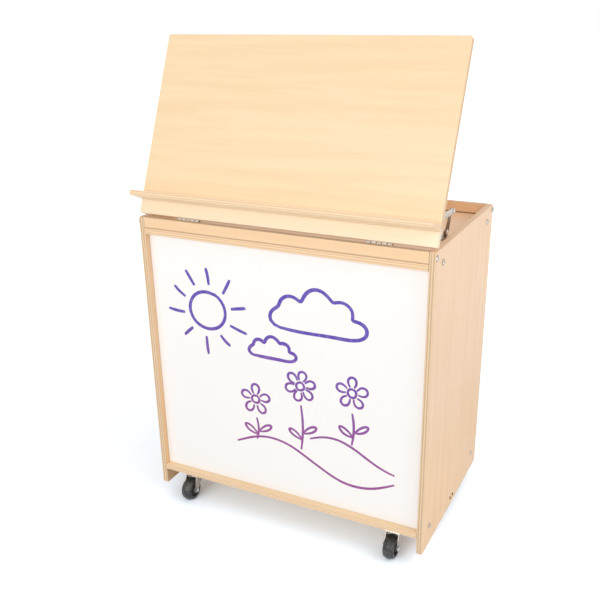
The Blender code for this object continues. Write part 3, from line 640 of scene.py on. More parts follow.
@dataclass(frozen=True)
class MarkerPanelFinish:
    """Glossy white writing laminate on a plywood back."""

    backing: PlywoodFinish
    white: Colour = (0.90, 0.875, 0.845)
    ghost: Colour = (0.85, 0.815, 0.83)
    outward: Triple = (0.0, -1.0, 0.0)
    front_span: Pair = (0.5, 0.8)
    smear_scale: float = 5.0
    smear_amount: float = 0.16
    smear_share: float = 0.4
    swipe_share: float = 1.4
    gloss: float = 0.22
    smear_rough: float = 0.25
    coat: float = 0.25
    coat_rough: float = 0.14

    def build(self, groups: Groups) -> Material:
        """Make the panel's material, white on the side that faces the reader.

        Args:
            groups: the shared shader groups.

        Returns:
            The panel's material.
        """
        sheet = MaterialSheet(self.backing.name)
        colour, rough, height = self.backing.wood(sheet, groups)
        facing = sheet.vector("DOT_PRODUCT", sheet.normal, self.outward)[1]
        front = sheet.span(facing, *self.front_span)
        marks = groups.handling.place(sheet, Place=sheet.place, Scale=self.smear_scale,
                                      Amount=self.smear_amount)
        swipe = sheet.math("MULTIPLY", marks["Smear"], marks["Scratch"])
        share = sheet.math("MULTIPLY", marks["Smear"], self.smear_share)
        share = sheet.math("MULTIPLY_ADD", swipe, self.swipe_share, share)
        white = sheet.mix(share, self.white, self.ghost)
        gloss = sheet.math("MULTIPLY_ADD", marks["Smear"], self.smear_rough, self.gloss)
        step = sheet.math("SUBTRACT", gloss, rough)
        height = sheet.math("MULTIPLY", height, sheet.math("SUBTRACT", 1.0, front))
        return sheet.finish(sheet.mix(front, colour, white), sheet.math("MULTIPLY_ADD", front, step, rough),
                            sheet.bump(height, *self.backing.relief), Coat_Weight=self.coat,
                            Coat_Roughness=self.coat_rough)


@dataclass(frozen=True)
class MetalFinish:
    """Plated or bare steel with soft mottling and hairlines."""

    name: str
    colour: Colour
    shade: Colour
    rough_low: float
    rough_high: float
    bare_share: float = 1.0
    mottle: float = 160.0
    scratch_rough: float = 0.08
    relief: Pair = (0.15, 0.03 * MM)

    def build(self, groups: Groups) -> Material:
        """Make the metal's material.

        Args:
            groups: the shared shader groups.

        Returns:
            The metal's material.
        """
        sheet = MaterialSheet(self.name)
        marks = groups.handling.place(sheet, Place=sheet.place, Scale=self.mottle, Amount=1.0)
        rough = sheet.math("MULTIPLY_ADD", marks["Smear"], self.rough_high - self.rough_low, self.rough_low)
        rough = sheet.math("MULTIPLY_ADD", marks["Scratch"], self.scratch_rough, rough)
        colour = self.add_painted_shade(sheet, sheet.mix(marks["Smear"], self.colour, self.shade))
        return sheet.finish(colour, rough, sheet.bump(marks["Scratch"], *self.relief),
                            Metallic=self.bare_share)

    def add_painted_shade(self, _sheet: MaterialSheet, colour: Socket) -> Socket:
        """Return the metal's colour as it is, with no painted shade."""
        return colour


@dataclass(frozen=True)
class KnuckleFinish(MetalFinish):
    """Plating of a rolled hinge, with painted shade in the joints between its knuckles."""

    middle: float = 197.5 * MM
    pitch: float = 10.0 * MM
    # Painted shade in the gaps between the knuckles: how far it reaches from each gap, and its tone.
    gap_shade_reach: Pair = (0.5 * MM, 1.0 * MM)
    knuckle_reach: Pair = (3.6 * MM, 4.2 * MM)
    painted_gap_shade_tone: Colour = (0.06, 0.045, 0.035)

    def add_painted_shade(self, sheet: MaterialSheet, colour: Socket) -> Socket:
        """Paint shade into the joints between the knuckles.

        Args:
            sheet: the material's node sheet.
            colour: the plating's colour.

        Returns:
            The colour with dark joints.
        """
        across = sheet.math("ABSOLUTE", sheet.split(sheet.place)[0])
        share = sheet.math("DIVIDE", sheet.math("SUBTRACT", across, self.middle), self.pitch)
        share = sheet.math("SUBTRACT", sheet.math("FRACT", share), 0.5)
        distance = sheet.math("MULTIPLY", sheet.math("ABSOLUTE", share), self.pitch)
        offset = sheet.vector("SUBTRACT", sheet.place, tuple(TILT_AXIS))[0]
        radius = sheet.vector("LENGTH", sheet.scaled(offset, (0.0, 1.0, 1.0)))[1]
        joint = sheet.span(distance, *self.gap_shade_reach, 1.0, 0.0)
        near = sheet.span(radius, *self.knuckle_reach, 1.0, 0.0)
        return sheet.mix(sheet.math("MULTIPLY", joint, near), colour, self.painted_gap_shade_tone)


class Metal(Enum):
    """Finishes of the metal pieces."""

    BRIGHT_ZINC = MetalFinish("bright_zinc", (0.66, 0.64, 0.61), (0.52, 0.50, 0.47), 0.2, 0.36)
    DULL_ZINC = MetalFinish("dull_zinc", (0.50, 0.45, 0.405), (0.38, 0.34, 0.305), 0.26, 0.42)
    PLAIN_STEEL = MetalFinish("plain_steel", (0.70, 0.70, 0.70), (0.55, 0.55, 0.55), 0.24, 0.4)
    SMOKED_STEEL = MetalFinish("smoked_steel", (0.36, 0.32, 0.28), (0.26, 0.23, 0.20), 0.26, 0.42)
    BLACK_OXIDE = MetalFinish("black_oxide", (0.075, 0.06, 0.05), (0.05, 0.04, 0.034), 0.4, 0.55)
    SATIN_NICKEL = MetalFinish("satin_nickel", (0.97, 0.95, 0.92), (0.86, 0.83, 0.79), 0.16, 0.3, 0.2)
    HINGE_NICKEL = KnuckleFinish("hinge_nickel", (0.97, 0.95, 0.92), (0.86, 0.83, 0.79), 0.16, 0.3, 0.2)


@dataclass(frozen=True)
class MouldedFinish:
    """Rubber or plastic with a fine moulded grain and a little floor dust."""

    name: str
    colour: Colour
    dust: Colour
    rough: float
    dust_share: float
    smear_scale: float = 70.0
    smear_rough: float = 0.15
    speck_noise: Noise = Noise(900.0, 3.0, 0.6)
    speck_span: Pair = (0.5, 0.8)
    speck_share: float = 0.6
    grain_noise: Noise = Noise(1800.0, 2.0, 0.6)
    relief: Pair = (0.2, 0.06 * MM)

    def build(self, groups: Groups) -> Material:
        """Make the moulded material.

        Args:
            groups: the shared shader groups.

        Returns:
            The moulded material.
        """
        sheet = MaterialSheet(self.name)
        marks = groups.handling.place(sheet, Place=sheet.place, Scale=self.smear_scale, Amount=1.0)
        speck = sheet.span(sheet.noise(sheet.place, self.speck_noise), *self.speck_span)
        share = sheet.math("MULTIPLY_ADD", speck, self.speck_share, marks["Smear"])
        share = sheet.math("MULTIPLY", share, self.dust_share)
        rough = sheet.math("MULTIPLY_ADD", marks["Smear"], self.smear_rough, self.rough)
        grain = sheet.noise(sheet.place, self.grain_noise)
        return sheet.finish(sheet.mix(share, self.colour, self.dust), rough, sheet.bump(grain, *self.relief))


class Moulding(Enum):
    """Finishes of the moulded wheel pieces."""

    RUBBER = MouldedFinish("tyre_rubber", (0.016, 0.0145, 0.0125), (0.2, 0.185, 0.16), 0.38, 0.34)
    PLASTIC = MouldedFinish("hub_plastic", (0.05, 0.05, 0.053), (0.2, 0.19, 0.18), 0.42, 0.2)


@dataclass(frozen=True)
class InkFinish:
    """Marker ink that runs from blue violet above to red violet below."""

    upper: Colour = (0.075, 0.035, 0.36)
    lower: Colour = (0.27, 0.045, 0.23)
    thin: Colour = (0.50, 0.36, 0.64)
    rise_span: Pair = (160.0 * MM, 500.0 * MM)
    patch_noise: Noise = Noise(170.0, 4.0, 0.6)
    patch_span: Sequence[float] = (0.35, 0.8, 0.0, 0.25)
    rough: float = 0.34
    patch_rough: float = 0.6

    def build(self) -> Material:
        """Make the ink's material.

        Returns:
            The ink's material.
        """
        sheet = MaterialSheet("marker_ink")
        rise = sheet.span(sheet.split(sheet.place)[2], *self.rise_span)
        patch = sheet.span(sheet.noise(sheet.place, self.patch_noise), *self.patch_span)
        colour = sheet.mix(patch, sheet.mix(rise, self.lower, self.upper), self.thin)
        return sheet.finish(colour, sheet.math("MULTIPLY_ADD", patch, self.patch_rough, self.rough))


def set_material(piece: Piece, material: Material) -> None:
    """Put one material on the whole piece."""
    piece.data.materials.clear()
    piece.data.materials.append(material)


class Bench:
    """Hand-like modelling steps on one mesh at a time."""

    @staticmethod
    def clear() -> None:
        """Go to object mode with nothing selected."""
        if bpy.context.mode != "OBJECT":
            bpy.ops.object.mode_set(mode="OBJECT")
        bpy.ops.object.select_all(action="DESELECT")

    @staticmethod
    def hold(piece: Piece) -> None:
        """Select one piece alone and make it active.

        Args:
            piece: the piece to work on.
        """
        Bench.clear()
        piece.select_set(True)
        bpy.context.view_layer.objects.active = piece

    @staticmethod
    def settle(piece: Piece) -> None:
        """Apply a piece's place, turn and scale to its mesh."""
        Bench.hold(piece)
        bpy.ops.object.transform_apply(location=True, rotation=True, scale=True)

    @staticmethod
    def smooth(piece: Piece) -> None:
        """Shade a piece smooth up to the usual angle."""
        Bench.hold(piece)
        bpy.ops.object.shade_smooth_by_angle(angle=SMOOTH_ANGLE)

    @staticmethod
    def rod(name: str, radius: float, length: float, sides: int) -> Piece:
        """Add a round bar along X that starts at the origin.

        Args:
            name: the piece's name.
            radius: its radius.
            length: its length.
            sides: number of sides.

        Returns:
            The bar, with its place in its mesh.
        """
        Bench.clear()
        bpy.ops.mesh.primitive_cylinder_add(vertices=sides, radius=radius, depth=length,
                                            location=(length / 2, 0.0, 0.0), rotation=Z_ONTO_X)
        piece = bpy.context.object
        piece.name = name
        Bench.settle(piece)
        return piece

    @staticmethod
    def unpick(piece: Piece, faces: bool) -> None:
        """Hold a piece with nothing selected in its mesh.

        Args:
            piece: the piece to work on.
            faces: whether faces are picked next, and not edges.
        """
        Bench.hold(piece)
        bpy.context.tool_settings.mesh_select_mode = (False, not faces, faces)
        for items in (piece.data.vertices, piece.data.edges, piece.data.polygons):
            items.foreach_set("select", [False] * len(items))

    @staticmethod
    def pick_faces(piece: Piece, test: Callable[[bpy.types.MeshPolygon], bool]) -> None:
        """Enter edit mode with some faces selected.

        Args:
            piece: the piece to work on.
            test: tells whether a face is selected.
        """
        Bench.unpick(piece, faces=True)
        for face in piece.data.polygons:
            face.select = test(face)
        bpy.ops.object.mode_set(mode="EDIT")

    @staticmethod
    def pick_edges(piece: Piece, test: Callable[[Vector], bool]) -> None:
        """Enter edit mode with some edges selected.

        Args:
            piece: the piece to work on.
            test: tells whether an edge's end lies where both its ends have to.
        """
        Bench.unpick(piece, faces=False)
        points = piece.data.vertices
        for edge in piece.data.edges:
            edge.select = all(test(points[number].co) for number in edge.vertices)
        bpy.ops.object.mode_set(mode="EDIT")

    @staticmethod
    def turned(name: str, profile: Sequence[Pair], steps: int) -> Piece:
        """Spin a closed profile about X into a ring.

        Args:
            name: the piece's name.
            profile: radius and X of each corner, in order.
            steps: faces round the ring.

        Returns:
            The ring.
        """
        Bench.clear()
        bpy.ops.mesh.primitive_circle_add(vertices=len(profile), radius=1.0, fill_type="NOTHING")
        piece = bpy.context.object
        piece.name = name
        for vertex, (radius, along) in zip(piece.data.vertices, profile):
            vertex.co = (along, 0.0, radius)
        bpy.ops.object.mode_set(mode="EDIT")
        bpy.ops.mesh.select_all(action="SELECT")
        bpy.ops.mesh.spin(steps=steps, angle=math.tau, center=(0.0, 0.0, 0.0), axis=Axis.X.value)
        bpy.ops.mesh.select_all(action="SELECT")
        bpy.ops.mesh.remove_doubles(threshold=WELD)
        bpy.ops.mesh.normals_make_consistent(inside=False)
        Bench.smooth(piece)
        return piece

    @staticmethod
    def copy(piece: Piece, name: str, place: Matrix) -> Piece:
        """Copy a piece with a mesh of its own.

        Args:
            piece: the piece to copy.
            name: the copy's name.
            place: transform that goes into the copy's mesh.

        Returns:
            The copy.
        """
        twin = piece.copy()
        twin.data = piece.data.copy()
        twin.name = name
        twin.data.transform(place)
        bpy.context.collection.objects.link(twin)
        return twin

    @staticmethod
    def outward(seat: Vector, sign: float) -> Matrix:
        """Return the transform that puts a piece along X on a seat, facing out at its side."""
        return Matrix.Translation(seat) @ Matrix.Rotation(0.0 if sign > 0 else math.pi, 4, "Z")

    @staticmethod
    def join(pieces: Sequence[Piece], name: str) -> Piece:
        """Join pieces into the first one.

        Args:
            pieces: the pieces to join.
            name: the name of the result.

        Returns:
            The joined piece.
        """
        Bench.hold(pieces[0])
        for piece in pieces[1:]:
            piece.select_set(True)
        bpy.ops.object.join()
        pieces[0].name = name
        return pieces[0]

    @staticmethod
    def discard(piece: Piece) -> None:
        """Remove a pattern piece that was only there to be copied."""
        bpy.data.objects.remove(piece, do_unlink=True)


@dataclass(frozen=True)
class Lamp:
    """A soft area lamp: where it hangs, its width and height in metres and its power in watts."""

    name: str
    place: Triple
    size: Pair
    power: float

    def hang(self, target: Triple) -> None:
        """Add the lamp.

        Args:
            target: the point that it is aimed at.
        """
        bpy.ops.object.light_add(type="AREA", location=self.place)
        lamp = bpy.context.object
        lamp.name = self.name
        lamp.data.shape = "RECTANGLE"
        lamp.data.size, lamp.data.size_y = self.size
        lamp.data.energy = self.power
        aim = Vector(target) - Vector(self.place)
        lamp.rotation_euler = aim.to_track_quat("-Z", "Y").to_euler()


@dataclass
class Studio:
    """Camera, floor and soft light of the picture."""

    camera_place: Triple = (0.6686, -1.38097, 1.0214)
    azimuth: float = math.radians(26.18)
    elevation: float = math.radians(21.56)
    roll: float = math.radians(-0.63)
    lens: float = 46.83
    sensor: float = 36.0
    shift: Pair = (-0.0235, 0.029)
    view_depth: float = 200.0
    floor_half: float = 30.0
    floor_colour: Colour = (0.68, 0.68, 0.70)
    floor_seen: Colour = (1.34, 1.45, 1.58)
    floor_far: Colour = (2.0, 2.0, 2.0)
    floor_fade: Pair = (0.7, 2.5)
    lamps: Sequence[Lamp] = (Lamp("front_softbox", (0.0, -5.0, 2.4), (4.2, 2.0), 130.0),
                             Lamp("side_softbox", (2.5, -0.3, 2.5), (2.2, 2.0), 24.0))
    lamp_target: Triple = (0.0, 0.0, 0.5)
    room_level: float = 0.64
    room_lean: float = 0.5

    def build(self) -> None:
        """Set the camera, the floor, the lamps and the room's light."""
        self.add_camera()
        self.add_floor()
        for lamp in self.lamps:
            lamp.hang(self.lamp_target)
        self.set_room()
        bpy.context.scene.view_settings.view_transform = "Standard"

    def add_camera(self) -> None:
        """Stand the camera where the photograph was taken."""
        level = math.cos(self.elevation)
        forward = Vector((-math.sin(self.azimuth) * level, math.cos(self.azimuth) * level,
                          -math.sin(self.elevation)))
        right = forward.cross(Vector(Axis.Z.value)).normalized()
        turn = Matrix.Rotation(-self.roll, 3, forward)
        basis = Matrix((turn @ right, turn @ right.cross(forward), -forward)).transposed().to_4x4()
        Bench.clear()
        bpy.ops.object.camera_add()
        camera = bpy.context.object
        camera.name = "studio_camera"
        camera.matrix_world = Matrix.Translation(self.camera_place) @ basis
        camera.data.sensor_width = self.sensor
        camera.data.lens = self.lens
        camera.data.shift_x, camera.data.shift_y = self.shift
        camera.data.clip_end = self.view_depth
        bpy.context.scene.camera = camera

    def add_floor(self) -> None:
        """Lay a pale floor that keeps the shadow and reads white around it."""
        bpy.ops.mesh.primitive_plane_add(size=2 * self.floor_half)
        floor = bpy.context.object
        floor.name = "studio_floor"
        material = bpy.data.materials.new("studio_floor")
        material.use_nodes = True
        material.node_tree.nodes.clear()
        sheet = NodeSheet(material.node_tree)
        diffuse = sheet.add("ShaderNodeBsdfDiffuse")
        distance = sheet.vector("LENGTH", sheet.add("ShaderNodeTexCoord").outputs["Object"])[1]
        shown = sheet.mix(sheet.span(distance, *self.floor_fade), self.floor_seen, self.floor_far)
        sheet.feed(diffuse.inputs["Color"], sheet.mix(self.seen(sheet), self.floor_colour, shown))
        sheet.feed(sheet.add("ShaderNodeOutputMaterial").inputs["Surface"], diffuse.outputs[0])
        floor.data.materials.append(material)

    @staticmethod
    def seen(sheet: NodeSheet) -> Socket:
        """Tell the rays that show a surface from those that only light others.

        Args:
            sheet: the node sheet of the floor or the room.

        Returns:
            1 for rays from the camera, mirrors and glass, and 0 for the rest.
        """
        path = sheet.add("ShaderNodeLightPath").outputs
        direct = sheet.math("MAXIMUM", path["Is Camera Ray"], path["Is Glossy Ray"])
        return sheet.math("MAXIMUM", direct, path["Is Transmission Ray"])

    def set_room(self) -> None:
        """Fill the room with soft light, stronger from the right, that the camera sees as white."""
        world = bpy.data.worlds.new("studio_room")
        world.use_nodes = True
        bpy.context.scene.world = world
        sheet = NodeSheet(world.node_tree)
        ground = world.node_tree.nodes["Background"]
        ground.inputs["Color"].default_value = (1.0, 1.0, 1.0, 1.0)
        right = sheet.split(sheet.add("ShaderNodeTexCoord").outputs["Generated"])[0]
        level = sheet.math("MULTIPLY_ADD", right, self.room_level * self.room_lean, self.room_level)
        missing = sheet.math("SUBTRACT", 1.0, level)
        sheet.feed(ground.inputs["Strength"], sheet.math("MULTIPLY_ADD", self.seen(sheet), missing, level))


class Assembly:
    """A part of the display that is dressed or built in one go."""

    def build(self) -> list[Piece]:
        """Dress or build the pieces, and return them."""
        raise NotImplementedError


@dataclass(frozen=True)
class PanelCut:
    """How a panel lies in its sheet, and how much painted shade its edges and the joint at its foot get."""

    along: Axis
    through: Axis
    tone: WoodTone
    painted_border_shade: float
    painted_foot_share: float = 0.0


class Cut(Enum):
    """The kinds of panel in the cabinet."""

    # After grain, thickness and tone: the share of painted shade on the edges, then the share of painted
    # shade in the joint at the foot.
    UPRIGHT = PanelCut(Axis.Z, Axis.X, WoodTone.SIDE, 0.2)
    BACKING = PanelCut(Axis.Z, Axis.Y, WoodTone.SIDE, 0.2)
    TRAY = PanelCut(Axis.X, Axis.Z, WoodTone.TRAY, 0.4)
    BOTTOM = PanelCut(Axis.X, Axis.Z, WoodTone.BOARD, 0.3)
    FRONT = PanelCut(Axis.X, Axis.Y, WoodTone.RAIL, 0.1, 0.4)
    REAR = PanelCut(Axis.X, Axis.Y, WoodTone.REAR, 0.3, 0.8)


@dataclass
class Cabinet(Assembly):
    """The plywood carcass and its white front."""

    nodes: Mapping[str, Piece]
    groups: Groups

    def build(self) -> list[Piece]:
        """Give each panel plywood that follows its own grain and thickness.

        Returns:
            The panels.
        """
        layout = {"side_panel_left": Cut.UPRIGHT, "side_panel_right": Cut.UPRIGHT,
                  "centre_divider": Cut.UPRIGHT, "bottom_panel": Cut.BOTTOM, "tray_floor": Cut.TRAY,
                  "front_rail": Cut.FRONT, "rear_rail": Cut.REAR}
        finishes = {name: self.plank(name, cut.value) for name, cut in layout.items()}
        finishes["marker_panel"] = MarkerPanelFinish(self.plank("marker_panel", Cut.BACKING.value))
        for name, finish in finishes.items():
            set_material(self.nodes[name], finish.build(self.groups))
        return [self.nodes[name] for name in finishes]

    @staticmethod
    def plank(node: str, cut: PanelCut) -> PlywoodFinish:
        """Set plywood to a node's box.

        Args:
            node: the CAD node.
            cut: how the panel is cut.

        Returns:
            The finish for that node.
        """
        low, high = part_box(node)
        half = (high - low) / 2
        across = Vector(cut.through.value).cross(Vector(cut.along.value))
        axes = (cut.along.value, across, cut.through.value)
        sizes = tuple(abs(half.dot(Vector(axis))) for axis in axes)
        return PlywoodFinish(node, tuple((low + high) / 2), cut.along, cut.through, sizes, cut.tone,
                             cut.painted_border_shade, cut.painted_foot_share)


@dataclass
class DisplayBoard(Assembly):
    """The tilted board and its ledge."""

    nodes: Mapping[str, Piece]
    groups: Groups
    board_half: Triple = (HALF_WIDTH, 178.25 * MM, 6.0 * MM)
    ledge_half: Triple = (HALF_WIDTH, 20.5 * MM, 5.5 * MM)
    # Painted shade on the edges; painted light on the board's strip below the ledge.
    painted_border_shade: float = 0.12
    painted_foot_share: float = 0.6
    painted_foot_tone: Colour = (0.89, 0.79, 0.60)
    painted_foot_reach: Pair = (28.0 * MM, 36.0 * MM)

    def build(self) -> list[Piece]:
        """Give both pieces plywood turned with the board's lean, with painted light on the board's foot
        below the ledge.

        Returns:
            The board and the ledge.
        """
        board = (Axis.BOARD_BACK, self.board_half, WoodTone.BOARD, self.painted_foot_share)
        ledge = (Axis.BOARD_UP, self.ledge_half, WoodTone.LEDGE, 0.0)
        layout = {"display_board": board, "book_ledge": ledge}
        for name, (through, half, tone, painted_foot_share) in layout.items():
            low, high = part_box(name)
            finish = PlywoodFinish(name, tuple((low + high) / 2), Axis.X, through, half, tone,
                                   self.painted_border_shade, painted_foot_share, self.painted_foot_tone, self.painted_foot_reach)
            set_material(self.nodes[name], finish.build(self.groups))
        return [self.nodes[name] for name in layout]


@dataclass
class Hardware(Assembly):
    """Hinges, stays and casters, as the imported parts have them."""

    nodes: Mapping[str, Piece]
    metals: Mapping[Metal, Material]

    def build(self) -> list[Piece]:
        """Give each metal node its finish by the start of its name.

        Returns:
            The dressed nodes.
        """
        layout = {("hinge_pin", "stay_elbow_rivet", "caster_axle"): Metal.PLAIN_STEEL,
                  ("hinge_",): Metal.HINGE_NICKEL,
                  ("stay_foot", "stay_lower_arm"): Metal.SMOKED_STEEL,
                  ("stay_upper_arm", "caster_plate", "caster_fork"): Metal.DULL_ZINC,
                  ("stay_",): Metal.BRIGHT_ZINC}
        dressed = []
        for name, node in self.nodes.items():
            metal = next((metal for starts, metal in layout.items() if name.startswith(starts)), None)
            if metal is not None:
                set_material(node, self.metals[metal])
                dressed.append(node)
        return dressed


@dataclass(frozen=True)
class Fastener:
    """A round-headed fastener along X, with the underside of its head at the origin."""

    name: str
    sides: int
    head_radius: float
    head_height: float
    head_bevel: float
    bevel_steps: int
    shank_radius: float
    shank_length: float
    tip_inset: float
    tip_length: float
    square_on: float = 0.9

    def top(self) -> float:
        """Return the X above which only the head's top lies."""
        return self.head_height - SLACK

    def blank(self) -> Piece:
        """Model the head and the shank.

        Returns:
            The fastener without its recess.
        """
        piece = Bench.rod(self.name, self.head_radius, self.head_height, self.sides)
        Bench.pick_edges(piece, lambda point: point.x > self.top())
        bpy.ops.mesh.bevel(offset=self.head_bevel, segments=self.bevel_steps, affect="EDGES")
        Bench.pick_faces(piece, lambda face: face.normal.x < -self.square_on)
        bpy.ops.mesh.inset(thickness=self.head_radius - self.shank_radius)
        bpy.ops.mesh.extrude_region_move(TRANSFORM_OT_translate={"value": (-self.shank_length, 0.0, 0.0)})
        bpy.ops.mesh.inset(thickness=self.tip_inset)
        bpy.ops.transform.translate(value=(-self.tip_length, 0.0, 0.0))
        return piece


@dataclass
class AssemblyBolts(Assembly):
    """Button-head bolts through the sides, with hexagon sockets."""

    metal: Material
    shape: Fastener = Fastener("bolt_pattern", sides=24, head_radius=5.5 * MM, head_height=2.2 * MM,
                               head_bevel=1.5 * MM, bevel_steps=4, shank_radius=3.0 * MM,
                               shank_length=34.0 * MM, tip_inset=0.5 * MM, tip_length=0.5 * MM)
    socket_sides: int = 6
    socket_radius: float = 2.0 * MM
    socket_depth: float = 1.3 * MM
    rim_slack: float = 0.1 * MM
    socket_slack: float = 0.02 * MM
    count: int = 6
    twist: float = 0.7

    def pattern(self) -> Piece:
        """Model one bolt.

        Returns:
            The bolt.
        """
        bolt = self.shape.blank()
        Bench.pick_faces(bolt, lambda face: min(bolt.data.vertices[number].co.x
                                                for number in face.vertices) > self.shape.top())
        bpy.ops.mesh.delete(type="ONLY_FACE")
        bpy.ops.mesh.primitive_circle_add(vertices=self.socket_sides, radius=self.socket_radius,
                                          location=(self.shape.head_height, 0.0, 0.0), rotation=Z_ONTO_X)
        self.cut_socket(bolt)
        Bench.smooth(bolt)
        set_material(bolt, self.metal)
        return bolt

    def cut_socket(self, bolt: Piece) -> None:
        """Bridge the head's rim to the hexagon and sink the hexagon.

        Args:
            bolt: the bolt with an open head and a loose hexagon.
        """
        rim = self.shape.head_radius - self.shape.head_bevel + self.rim_slack
        socket = self.socket_radius + self.socket_slack

        def within(reach: float) -> Callable[[Vector], bool]:
            """Return the test for points on the head's top within a reach of its axis."""
            return lambda point: point.x > self.shape.top() and math.hypot(point.y, point.z) < reach

        Bench.pick_edges(bolt, within(rim))
        bpy.ops.mesh.bridge_edge_loops()
        Bench.pick_edges(bolt, within(socket))
        bpy.ops.mesh.extrude_edges_move(TRANSFORM_OT_translate={"value": (-self.socket_depth, 0.0, 0.0)})
        bpy.ops.mesh.edge_face_add()
        bpy.ops.mesh.select_all(action="SELECT")
        bpy.ops.mesh.normals_make_consistent(inside=False)

    def build(self) -> list[Piece]:
        """Copy the bolt to each seat in place of the plain one.

        Returns:
            The bolts.
        """
        pattern = self.pattern()
        bolts = []
        for side, sign in SIDES.items():
            for number in range(1, self.count + 1):
                node = f"assembly_bolt_{side}_{number}"
                low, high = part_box(node)
                reach = max(abs(low.x), abs(high.x)) - self.shape.head_height
                seat = Vector((sign * reach, (low.y + high.y) / 2, (low.z + high.z) / 2))
                place = Bench.outward(seat, sign) @ Matrix.Rotation(self.twist * number, 4, "X")
                bolt = Bench.copy(pattern, f"socket_bolt_{side}_{number}", place)
                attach(bolt, "cabinet")
                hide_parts(node)
                bolts.append(bolt)
        Bench.discard(pattern)
        return bolts


@dataclass
class Screws(Assembly):
    """Pan-head wood screws with cross recesses, in the hinges, stays, casters, ledge and sides.

    A seat on the board is a distance behind the tilt axis, square to the board, and one up the board.
    """

    metal: Material
    dark: Material
    shape: Fastener = Fastener("screw_pattern", sides=20, head_radius=3.3 * MM, head_height=1.3 * MM,
                               head_bevel=0.9 * MM, bevel_steps=3, shank_radius=1.5 * MM,
                               shank_length=7.0 * MM, tip_inset=1.1 * MM, tip_length=1.5 * MM)
    recess_width: float = 0.8 * MM
    recess_reach: float = 1.8 * MM
    recess_depth: float = 0.9 * MM
    twist: float = 0.9
    dark_groups: Sequence[str] = ("low_side_screws", "stay_foot_screws")
    low_side_depths: Pair = (5.0 * MM, 21.0 * MM)
    low_side_rise: float = 50.0 * MM
    hinge_shifts: Pair = (-15.0 * MM, 15.0 * MM)
    hinge_rail_seat: Pair = (-166.87 * MM, 629.5 * MM)
    hinge_board_seat: Pair = (-0.5 * MM, 13.5 * MM)
    stay_shifts: Pair = (-9.5 * MM, 9.5 * MM)
    stay_foot_seat: Triple = (256.5 * MM, -15.968 * MM, 624.5 * MM)
    stay_head_seat: Triple = (263.0 * MM, 0.3 * MM, 41.6 * MM)
    caster_shifts: Pair = (-18.0 * MM, 18.0 * MM)
    caster_rise: float = 66.2 * MM
    ledge_seat: Pair = (-2.0 * MM, 36.1 * MM)
    ledge_pitch: float = 112.5 * MM
    ledge_reach: int = 2

    def pattern(self) -> Piece:
        """Model one screw.

        Returns:
            The screw.
        """
        screw = self.shape.blank()
        for turn in (0.0, math.pi / 2):
            self.cut_slot(screw, turn)
        Bench.smooth(screw)
        return screw

    def cut_slot(self, screw: Piece, turn: float) -> None:
        """Cut one arm of the cross recess.

        Args:
            screw: the screw.
            turn: angle of the arm about the screw's axis.
        """
        Bench.clear()
        bpy.ops.mesh.primitive_cube_add(size=1.0, location=(self.shape.head_height, 0.0, 0.0),
                                        rotation=(turn, 0.0, 0.0))
        cutter = bpy.context.object
        cutter.scale = (2 * self.recess_depth, 2 * self.recess_reach, self.recess_width)
        Bench.settle(cutter)
        Bench.hold(screw)
        bpy.ops.object.modifier_add(type="BOOLEAN")
        step = screw.modifiers[-1]
        step.operation = "DIFFERENCE"
        step.solver = "EXACT"
        step.object = cutter
        bpy.ops.object.modifier_apply(modifier=step.name)
        Bench.discard(cutter)

    def build(self) -> list[Piece]:
        """Set the screws of each group on the body that carries them.

        Returns:
            One piece for each group.
        """
        pattern = self.pattern()
        pieces = []
        for name, (body, seats) in self.groups().items():
            screws = []
            for number, (place, outward) in enumerate(seats):
                aim = outward.to_track_quat("X", "Z").to_matrix().to_4x4()
                twist = Matrix.Rotation(self.twist * number, 4, "X")
                screws.append(Bench.copy(pattern, name, Matrix.Translation(place) @ aim @ twist))
            piece = Bench.join(screws, name)
            set_material(piece, self.dark if name in self.dark_groups else self.metal)
            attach(piece, body)
            pieces.append(piece)
        Bench.discard(pattern)
        return pieces

    def groups(self) -> dict[str, tuple[str, list[tuple[Vector, Vector]]]]:
        """List the screws.

        Returns:
            For each group, its body and each screw's seat and outward direction.
        """
        upward = Vector(Axis.Z.value)
        back = Vector(Axis.Y.value)
        board_back = Vector(Axis.BOARD_BACK.value)
        rail, board, foot, head, caster, ledge, low_side = [], [], [], [], [], [], []
        for side, sign in SIDES.items():
            for depth in self.low_side_depths:
                seat = Vector((sign * HALF_WIDTH, depth, self.low_side_rise))
                low_side.append((seat, Vector((sign, 0.0, 0.0))))
            middle = sum(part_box(f"hinge_rail_leaf_{side}"), Vector()) / 2
            for shift in self.hinge_shifts:
                rail.append((Vector((middle.x + shift, *self.hinge_rail_seat)), back))
                board.append((self.on_board(middle.x + shift, *self.hinge_board_seat), board_back))
            for shift in self.stay_shifts:
                across, depth, rise = self.stay_foot_seat
                foot.append((Vector((sign * across, depth + shift, rise)), upward))
                across, behind, rise = self.stay_head_seat
                head.append((self.on_board(sign * across, behind, rise + shift), board_back))
            for end in ENDS:
                middle = sum(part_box(f"caster_plate_{end}_{side}"), Vector()) / 2
                for right in self.caster_shifts:
                    for rear in self.caster_shifts:
                        seat = Vector((middle.x + right, middle.y + rear, self.caster_rise))
                        caster.append((seat, -upward))
        for step in range(-self.ledge_reach, self.ledge_reach + 1):
            ledge.append((self.on_board(step * self.ledge_pitch, *self.ledge_seat), board_back))
        return {"hinge_rail_screws": ("cabinet", rail), "hinge_board_screws": ("display", board),
                "stay_foot_screws": ("cabinet", foot), "stay_head_screws": ("display", head),
                "caster_screws": ("cabinet", caster), "ledge_screws": ("display", ledge),
                "low_side_screws": ("cabinet", low_side)}

